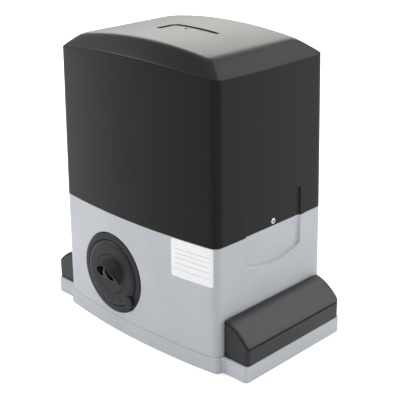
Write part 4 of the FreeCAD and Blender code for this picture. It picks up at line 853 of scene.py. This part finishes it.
def lid_outline(inset):
    """The bolt cover's plan at an inset, anticlockwise: sharp at the housing, rounded outside."""
    outer, inner = max(lid_corner - inset, 0.02), max(1.2 - inset, 0.02)
    low_x, high_x, reach = lid_wall_x + inset, lid_face_x - inset, lid_reach_y - inset
    face = [-reach + outer + (2 * reach - 2 * outer) * i / 24 for i in range(1, 24)]
    end = [high_x - outer - (high_x - outer - low_x - inner) * i / 12 for i in range(1, 12)]
    return (quarter((high_x - outer, -reach + outer), outer, -1, 8) + [(high_x, y) for y in face]
            + quarter((high_x - outer, reach - outer), outer, 0, 8) + [(x, reach) for x in end]
            + quarter((low_x + inner, reach - inner), inner, 1, 4) + [(low_x, -y) for y in face]
            + quarter((low_x + inner, -reach + inner), inner, 2, 4) + [(x, -reach) for x in reversed(end)])


def lid_height(x, y):
    """Height of the lid over its plan: a bow from the nose up to the housing, dropping at both ends
    and rolling over at the housing."""
    t = (lid_face_x - x) / (lid_face_x - lid_wall_x)
    slope = lid_crease_z + (lid_top_z - lid_crease_z) * t + 4 * lid_bow * t * (1 - t)
    end = max(0, abs(y) - (lid_reach_y - nose_long)) / nose_long
    back = max(0, 1 - (x - lid_wall_x) / 1.5)
    return slope - nose_drop * end ** 1.6 - 0.8 * back * back


def bolt_cover(name, side):
    rows = []

    def ring(inset, height):
        rows.append([(side * x, side * y, height(x, y)) for x, y in lid_outline(inset)])

    def level_ring(inset, drop):
        """A ring of the groove, which stays level with the lid's outer edge however far in it goes."""
        rows.append([(side * x, side * y, lid_height(*edge) - drop)
                     for (x, y), edge in zip(lid_outline(inset), lid_outline(0))])

    def under(drop):
        return lambda x, y: lid_height(x, y) - drop

    wall_thick, lid_edge = 2.3, 0.9
    for inset in (lid_middle, 14, 10, 5, wall_thick + 0.8):
        ring(inset, under(4.6))
    ring(wall_thick, under(6))
    ring(wall_thick, lambda x, y: lid_floor_z)
    ring(0.25, lambda x, y: lid_floor_z)
    ring(0, lambda x, y: lid_floor_z + 0.3)
    for part in (0.25, 0.5, 0.75):
        ring(0, lambda x, y: lid_floor_z
             + (lid_height(x, y) - lid_edge - groove_high - lid_floor_z) * part)
    level_ring(0, lid_edge + groove_high + 0.35)
    level_ring(0.3, lid_edge + groove_high)
    level_ring(groove_deep, lid_edge + groove_high)
    level_ring(groove_deep, lid_edge)
    level_ring(0.15, lid_edge)
    level_ring(0, lid_edge - 0.2)
    level_ring(0, 0.35)
    ring(0.15, under(0.1))
    for inset in (0.45, 1, 1.8, 2.7, 3.6, 4.4, 5, 5.4, 6.2, 7.5, 9.5, 12, 15, lid_middle):
        ring(inset, lid_height)
    shape = opened(grid_mesh(name, rows))
    bmesh.ops.remove_doubles(shape, verts=shape.verts, dist=5e-5)
    bmesh.ops.holes_fill(shape, edges=[e for e in shape.edges if e.is_boundary])
    bmesh.ops.recalc_face_normals(shape, faces=shape.faces)
    lid = shade(closed(name, shape), 50)
    clip_outlines = [rounded_rectangle(1.2, 6, 0.8, 3, (side * clip_x, way * clip_y)) for way in (-1, 1)]
    clips = [finish_edges(prism("clip", outline, 7.5, 30), 0.4) for outline in clip_outlines]
    return merge(name, [lid, *clips])


# black ABS from a finer mould than the cover's: smoother, so its slope shows a clear sheen
lid_black = moulded("satin_abs_black", ("#18191b", "#1d1e20"), 0.36, 1.0, 0.004, gloss=0.3, cloud=30)
for side, label in ((1, "right"), (-1, "left")):
    lid = bolt_cover(f"{label}_bolt_cover_moulding", side)
    paint(lid, lid_black)
    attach(lid, f"{label}_lid")
    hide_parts(f"{label}_bolt_cover")


# --- release --------------------------------------------------------------------------------------
# The manual release in the base's round pocket: a turned bezel and a domed plate clip into it, and a
# knob with a two-finger grip turns the clutch. With the key cover they are black acetal, with a fine
# satin face.
lock_x, lock_z, pin_z = -5.2, 51.6, 58.25
boss_radius, lock_way_radius, pin_way_radius, flap_way_radius, spindle_radius = 8, 5.45, 1.02, 1.1, 5.05
plate_face, mark_proud = -112, 0.2


def turned(name, profile, middle=(axle_x, axle_z), steps=128):
    """A closed profile of radii and depths turned about the Y axis, in millimetres."""
    rows = [[(x, y, z) for x, z in disc_outline(middle, radius, steps)] for radius, y in profile]
    shape = opened(grid_mesh(name, rows + [rows[0]]))
    bmesh.ops.remove_doubles(shape, verts=shape.verts, dist=1e-6)
    bmesh.ops.dissolve_degenerate(shape, edges=shape.edges, dist=1e-7)
    bmesh.ops.recalc_face_normals(shape, faces=shape.faces)
    return closed(name, shape)


bezel = turned("release_bezel_ring", [
    (30, -103), (30, -107.2), (45.9, -107.2), (45.9, -108.8), (46.4, -109.15), (52.6, -108.75), (53.6, -108.4),
    (54.2, -107.6), (54.3, -101.8), (50.3, -101.8), (50.3, -103)])
# a boss in the ring carries the lock up to the plate's face
carve(bezel, round_cutter("lock_boss", lock_x, lock_z, boss_radius, plate_face - 0.1, -104), "UNION")
carve(bezel, round_cutter("lock_way", lock_x, lock_z, lock_way_radius))
carve(bezel, round_cutter("pin_way", lock_x, pin_z, pin_way_radius))
# a notch in the rim, which lines the bezel up in the pocket
notch_turn, notch_near, notch_far, notch_half = math.radians(-50), 52.4, 55.5, 1.8
notch = []
for out, across_way in ((notch_near, -notch_half), (notch_far, -notch_half), (notch_far, notch_half),
                        (notch_near, notch_half)):
    notch.append((axle_z + out * math.sin(notch_turn) + across_way * math.cos(notch_turn),
                  axle_x + out * math.cos(notch_turn) - across_way * math.sin(notch_turn)))
carve(bezel, prism("rim_notch", notch, -112, -104.6, "Y"))
finish_edges(bezel, 0.2, angle=35, segments=2)

plate = turned("release_plate_disc", [
    (27, -107.2), (27, -111.8), (27.2, plate_face), (37, plate_face), (39.5, -111.85), (41.6, -111.4),
    (43.3, -110.6), (44.5, -109.6), (45.1, -108.4), (45.15, -107.2)])
carve(plate, round_cutter("boss_way", lock_x, lock_z, boss_radius + 0.15))
# raised marks beside the grip: an arrow for one way round and a bar for the other
for outline in ([(-71.5, 72.3), (-68, 69.8), (-68, 74.8)],
                [(-67.2, 70.9), (-61, 70.3), (-61, 72.7), (-67.2, 73.3)],
                [(-19.6, 68.4), (-6.6, 67.2), (-6.6, 69.7), (-19.6, 70.9)]):
    mark = prism("raised_mark", [(z, x) for x, z in outline], plate_face - mark_proud, -111.5, "Y")
    carve(plate, mark, "UNION")
shade(plate)

hub_radius, grip_rim, grip_root = 26.5, 16.5, 20.5
hub_front, rim_front = plate_face, -125
knob = round_cutter("release_knob_moulding", axle_x, axle_z, hub_radius, hub_front, -105)
cone_wall = turned("grip_cone", [(0, -111.4), (grip_root + 0.15, -111.4), (grip_root, hub_front),
                                 (grip_rim + 0.1, rim_front + 0.5), (grip_rim - 0.3, rim_front),
                                 (0, rim_front)])
ramp_low, ramp_turn, ramp_high = (-111.9, 69.6), (-119.6, 79.2), (-125.6, 91)
ramp = [(-111.9, 51), *bend(ramp_low, ramp_turn, ramp_high, 16), (-142, 91), (-142, 51)]
carve(cone_wall, prism("grip_ramp", ramp, -64, -12, "X"))
carve(knob, cone_wall, "UNION")


def smooth_loop(points, steps=6):
    """A smooth closed outline through some points."""
    loop = []
    for i in range(len(points)):
        before, start, end, after = (Vector(points[(i + k) % len(points)]) for k in (-1, 0, 1, 2))
        for k in range(steps):
            t = k / steps
            loop.append(tuple((start * 2 + (end - before) * t
                               + (before * 2 - start * 5 + end * 4 - after) * t ** 2
                               + (start * 3 - before - end * 3 + after) * t ** 3) / 2))
    return loop


# two finger pockets, with a leaning web between them that widens as it runs down to the hub
left_pocket = [(1.6, 14.7), (-4.5, 14.6), (-10.4, 11), (-14.4, 5.4), (-15.6, -0.6), (-13.8, -4.8), (-9.6, -4.4),
               (-5.8, -0.8), (-2.4, 5), (0.8, 10.6)]
right_pocket = [(6.6, 13.4), (10.8, 10.4), (13.9, 6), (15.1, 0.8), (13.4, -3.6), (9.4, -6.4), (4.6, -6.8),
                (1.4, -4.2), (1.8, 1.2), (4, 7.6)]
for points in (left_pocket, right_pocket):
    outline = [(axle_z + z, axle_x + x) for x, z in smooth_loop(points)]
    carve(knob, prism("finger_pocket", outline, -130, -108, "Y"))
carve(knob, round_cutter("spindle_bore", axle_x, axle_z, spindle_radius, -106.5, -100))
finish_edges(knob, 0.3, angle=32, segments=2)

flap = turned("key_cover_disc", [(0, -112.3), (7.9, -112.3), (8.15, -112.55), (8.0, -113.1), (7.2, -113.38),
                                 (0, -113.5)], (lock_x, lock_z), 64)
carve(flap, round_cutter("flap_way", lock_x, pin_z, flap_way_radius))
shade(flap)

# black acetal: self-coloured, dense and a little greasy, with a fine even satin from the tool
release_black = moulded("satin_acetal_black", ("#202022", "#252527"), 0.45, 1.1, 0.005, gloss=0.2, cloud=25)
for piece, body, node in ((bezel, "base", "release_bezel"), (plate, "base", "release_plate"),
                          (knob, "knob", "release_knob"), (flap, "key_flap", "key_cover")):
    paint(piece, release_black)
    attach(piece, body)
    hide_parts(node)

# free-turning brass for the cylinder lock, and blackened steel for the pin its cover swings on
turned_brass = plated("turned_brass", ("#c9a85c", "#b8964c"), 0.26, 0.8, 0.006, streak=(1, 6, 1), patches=6)
blackened_steel = plated("blackened_steel", ("#2f3032", "#3a3a3b"), 0.45, 0.8, 0.006, patches=4)
coat(turned_brass, "lock_barrel", "lock_plug")
coat(blackened_steel, "flap_pin")


# --- gearbox --------------------------------------------------------------------------------------
# A worm turns a bronze wheel on the output shaft inside a sand-cast case. Its cover screws on in front,
# and the release pulls a dog out of the wheel. Shafts are ground, bearings and seal are bought in.
cast_aluminium = plated("sand_cast_aluminium", ("#b3b5b6", "#a3a5a7"), 0.5, 0.7, 0.05, patches=22)
ground_steel = plated("ground_steel", ("#b9bbbd", "#a9abad"), 0.22, 0.7, 0.004, streak=(1, 9, 1), patches=14)
gear_bronze = plated("hobbed_gear_bronze", ("#b98b4e", "#a67a41"), 0.3, 0.9, 0.008, streak=(1, 5, 1),
                     patches=10)
hardened_steel = plated("case_hardened_steel", ("#8d8f92", "#7c7e82"), 0.3, 0.8, 0.006, streak=(1, 1, 5),
                        patches=9)
seal_rubber = moulded("nitrile_rubber", ("#151515", "#1c1c1c"), 0.6, 0.9, 0.01, gloss=0.3, cloud=12)
coat(cast_aluminium, "gearcase", "gearcase_cover")
coat(ground_steel, "output_shaft", "release_spindle", "front_bearing", "rear_bearing", "worm_lower_bearing",
     "worm_upper_bearing", "motor_top_bearing", "rotor_shaft", "pinion_key")
coat(gear_bronze, "worm_wheel")
coat(hardened_steel, "worm", "clutch_selector", "drive_pinion")
coat(bright_zinc, "pinion_bolt", "pinion_washer")

case_circle_radius, case_face_y = 48.8, 4
case_circle = [(x, case_face_y, z) for x, z in disc_outline((axle_x, axle_z), case_circle_radius, 6, 30)]
case_screws = screws("gearcase_cap_screws", case_circle, (math.pi / 2, 0, 0),
                     (4.1, 3.4, 3.3, 1.2, 1.8, 2, 21, 0.7), 36)
case_bolts = screws("gearbox_hexagon_bolts", [(x, y, 14) for x in (-97, 31) for y in (32, 48)], (0, 0, 0),
                    (6.4, 4.9, 5.8, 0.2, 0.1, 4, 7.8, 1.25), 6)
for piece, node in ((case_screws, "gearcase_screws"), (case_bolts, "gearbox_bolts")):
    shade(piece, 30)
    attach(piece, "base")
    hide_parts(node)
coat(seal_rubber, "shaft_seal", "cable_grommet")


# --- motor ----------------------------------------------------------------------------------------
# A single-phase motor stands on the gearcase: a cast can, a stack of laminations with its windings, and
# a rotor on two bearings. A slotted disc on the shaft's top end is read by a small sensor.
def laminated(name, tones, pitch, roughness, metal=1.0, axis="Z"):
    """Fine even lines across an axis, as sheets in a stack or turns of wire leave. Pitch in millimetres."""
    material, tree, place = fresh_material(name)
    lines = put(tree, "ShaderNodeTexWave", {"Vector": place, "Scale": 1000 / pitch / 20, "Distortion": 0.6,
                                            "Detail": 2, "Detail Scale": 3},
                wave_type="BANDS", bands_direction=axis, wave_profile="SIN").outputs["Fac"]
    drift = noise(tree, place, 18)
    principled(tree, {"Base Color": tinted(tree, maths(tree, "MULTIPLY", lines, drift), *tones),
                      "Metallic": metal, "Normal": bumped(tree, lines, 0.1, 0.7),
                      "Roughness": spread(tree, drift, 0.3, 0.7, roughness - 0.06, roughness + 0.06)})
    return material


stacked_steel = laminated("stacked_core_steel", ("#5b5c5f", "#7e8083"), 1.0, 0.42)
enamelled_copper = laminated("enamelled_copper_wire", ("#6e3416", "#b8642c"), 0.9, 0.28)
coat(cast_aluminium, "motor_casing", "motor_end_cap")
coat(stacked_steel, "stator_core", "rotor_core")
coat(enamelled_copper, "stator_windings")
part_black = moulded("glass_filled_black", ("#1a1a1b", "#202022"), 0.45, 0.8, 0.01, gloss=0.4, cloud=14)
coat(part_black, "encoder_disc", "encoder_sensor", "limit_sensor")
motor_x, motor_y, cap_circle_radius, cap_face_z = 12, 42, 42, 300
cap_circle = [(x, y, cap_face_z) for x, y in disc_outline((motor_x, motor_y), cap_circle_radius, 4, 45)]
cap_screws = screws("motor_cap_pan_screws", cap_circle, (0, 0, 0), (3.7, 3.1, 2.9, 1.1, 1.6, 2, 10, 0.7), 32)
shade(cap_screws, 30)
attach(cap_screws, "base")
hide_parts("motor_cap_screws")


# --- electrics ------------------------------------------------------------------------------------
# A moulded carrier stands in front of the gearbox with the control board screwed to it. The run
# capacitor is clipped beside it and the toroidal transformer is clamped to the base.
part_white = moulded("moulded_polyester_white", ("#e6e5e0", "#dddcd6"), 0.42, 1.0, 0.006, gloss=0.4, cloud=20)
terminal_green = moulded("terminal_polyamide_green", ("#1e8a48", "#19793f"), 0.4, 0.8, 0.006, cloud=8)
relay_blue = moulded("relay_case_blue", ("#2355a8", "#1e4b97"), 0.35, 0.8, 0.004, cloud=8)
display_glass = moulded("tinted_display_window", ("#170f10", "#1c1314"), 0.12, 2.0, 0.001, gloss=0.6, cloud=12)
winding_wrap = laminated("varnished_winding_tape", ("#8a6a1e", "#c49a3a"), 6.0, 0.45, metal=0.0,
                         axis="DIAGONAL")

board_green, tree, place = fresh_material("solder_mask_green")
cells = put(tree, "ShaderNodeTexVoronoi", {"Vector": place, "Scale": 1000 / 9, "Randomness": 0.55},
            feature="DISTANCE_TO_EDGE", distance="EUCLIDEAN").outputs["Distance"]
track = maths(tree, "LESS_THAN", cells, 0.06)
principled(tree, {"Base Color": tinted(tree, track, "#0f5a32", "#1c7a48"), "Roughness": 0.3,
                  "Normal": bumped(tree, track, 0.05)})

coat(part_black, "board_carrier", "board_microchip", "transformer_clamp", "capacitor_clip")
coat(part_white, "run_capacitor", "board_fuse")
coat(winding_wrap, "transformer")
coat(board_green, "control_board", "radio_receiver")
coat(terminal_green, "terminal_blocks")
coat(relay_blue, "board_relays")
coat(display_glass, "board_display")
coat(bright_zinc, "earth_stud")
board_screws = screws("board_pan_screws", [(x, -47, z) for x in (-78, 78) for z in (165, 318)],
                      (math.pi / 2, 0, 0), (3, 2.1, 2.2, 0.9, 1.2, 1.3, 1.4, 0.6), 28)
shade(board_screws, 30)
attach(board_screws, "base")
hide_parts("board_screws")
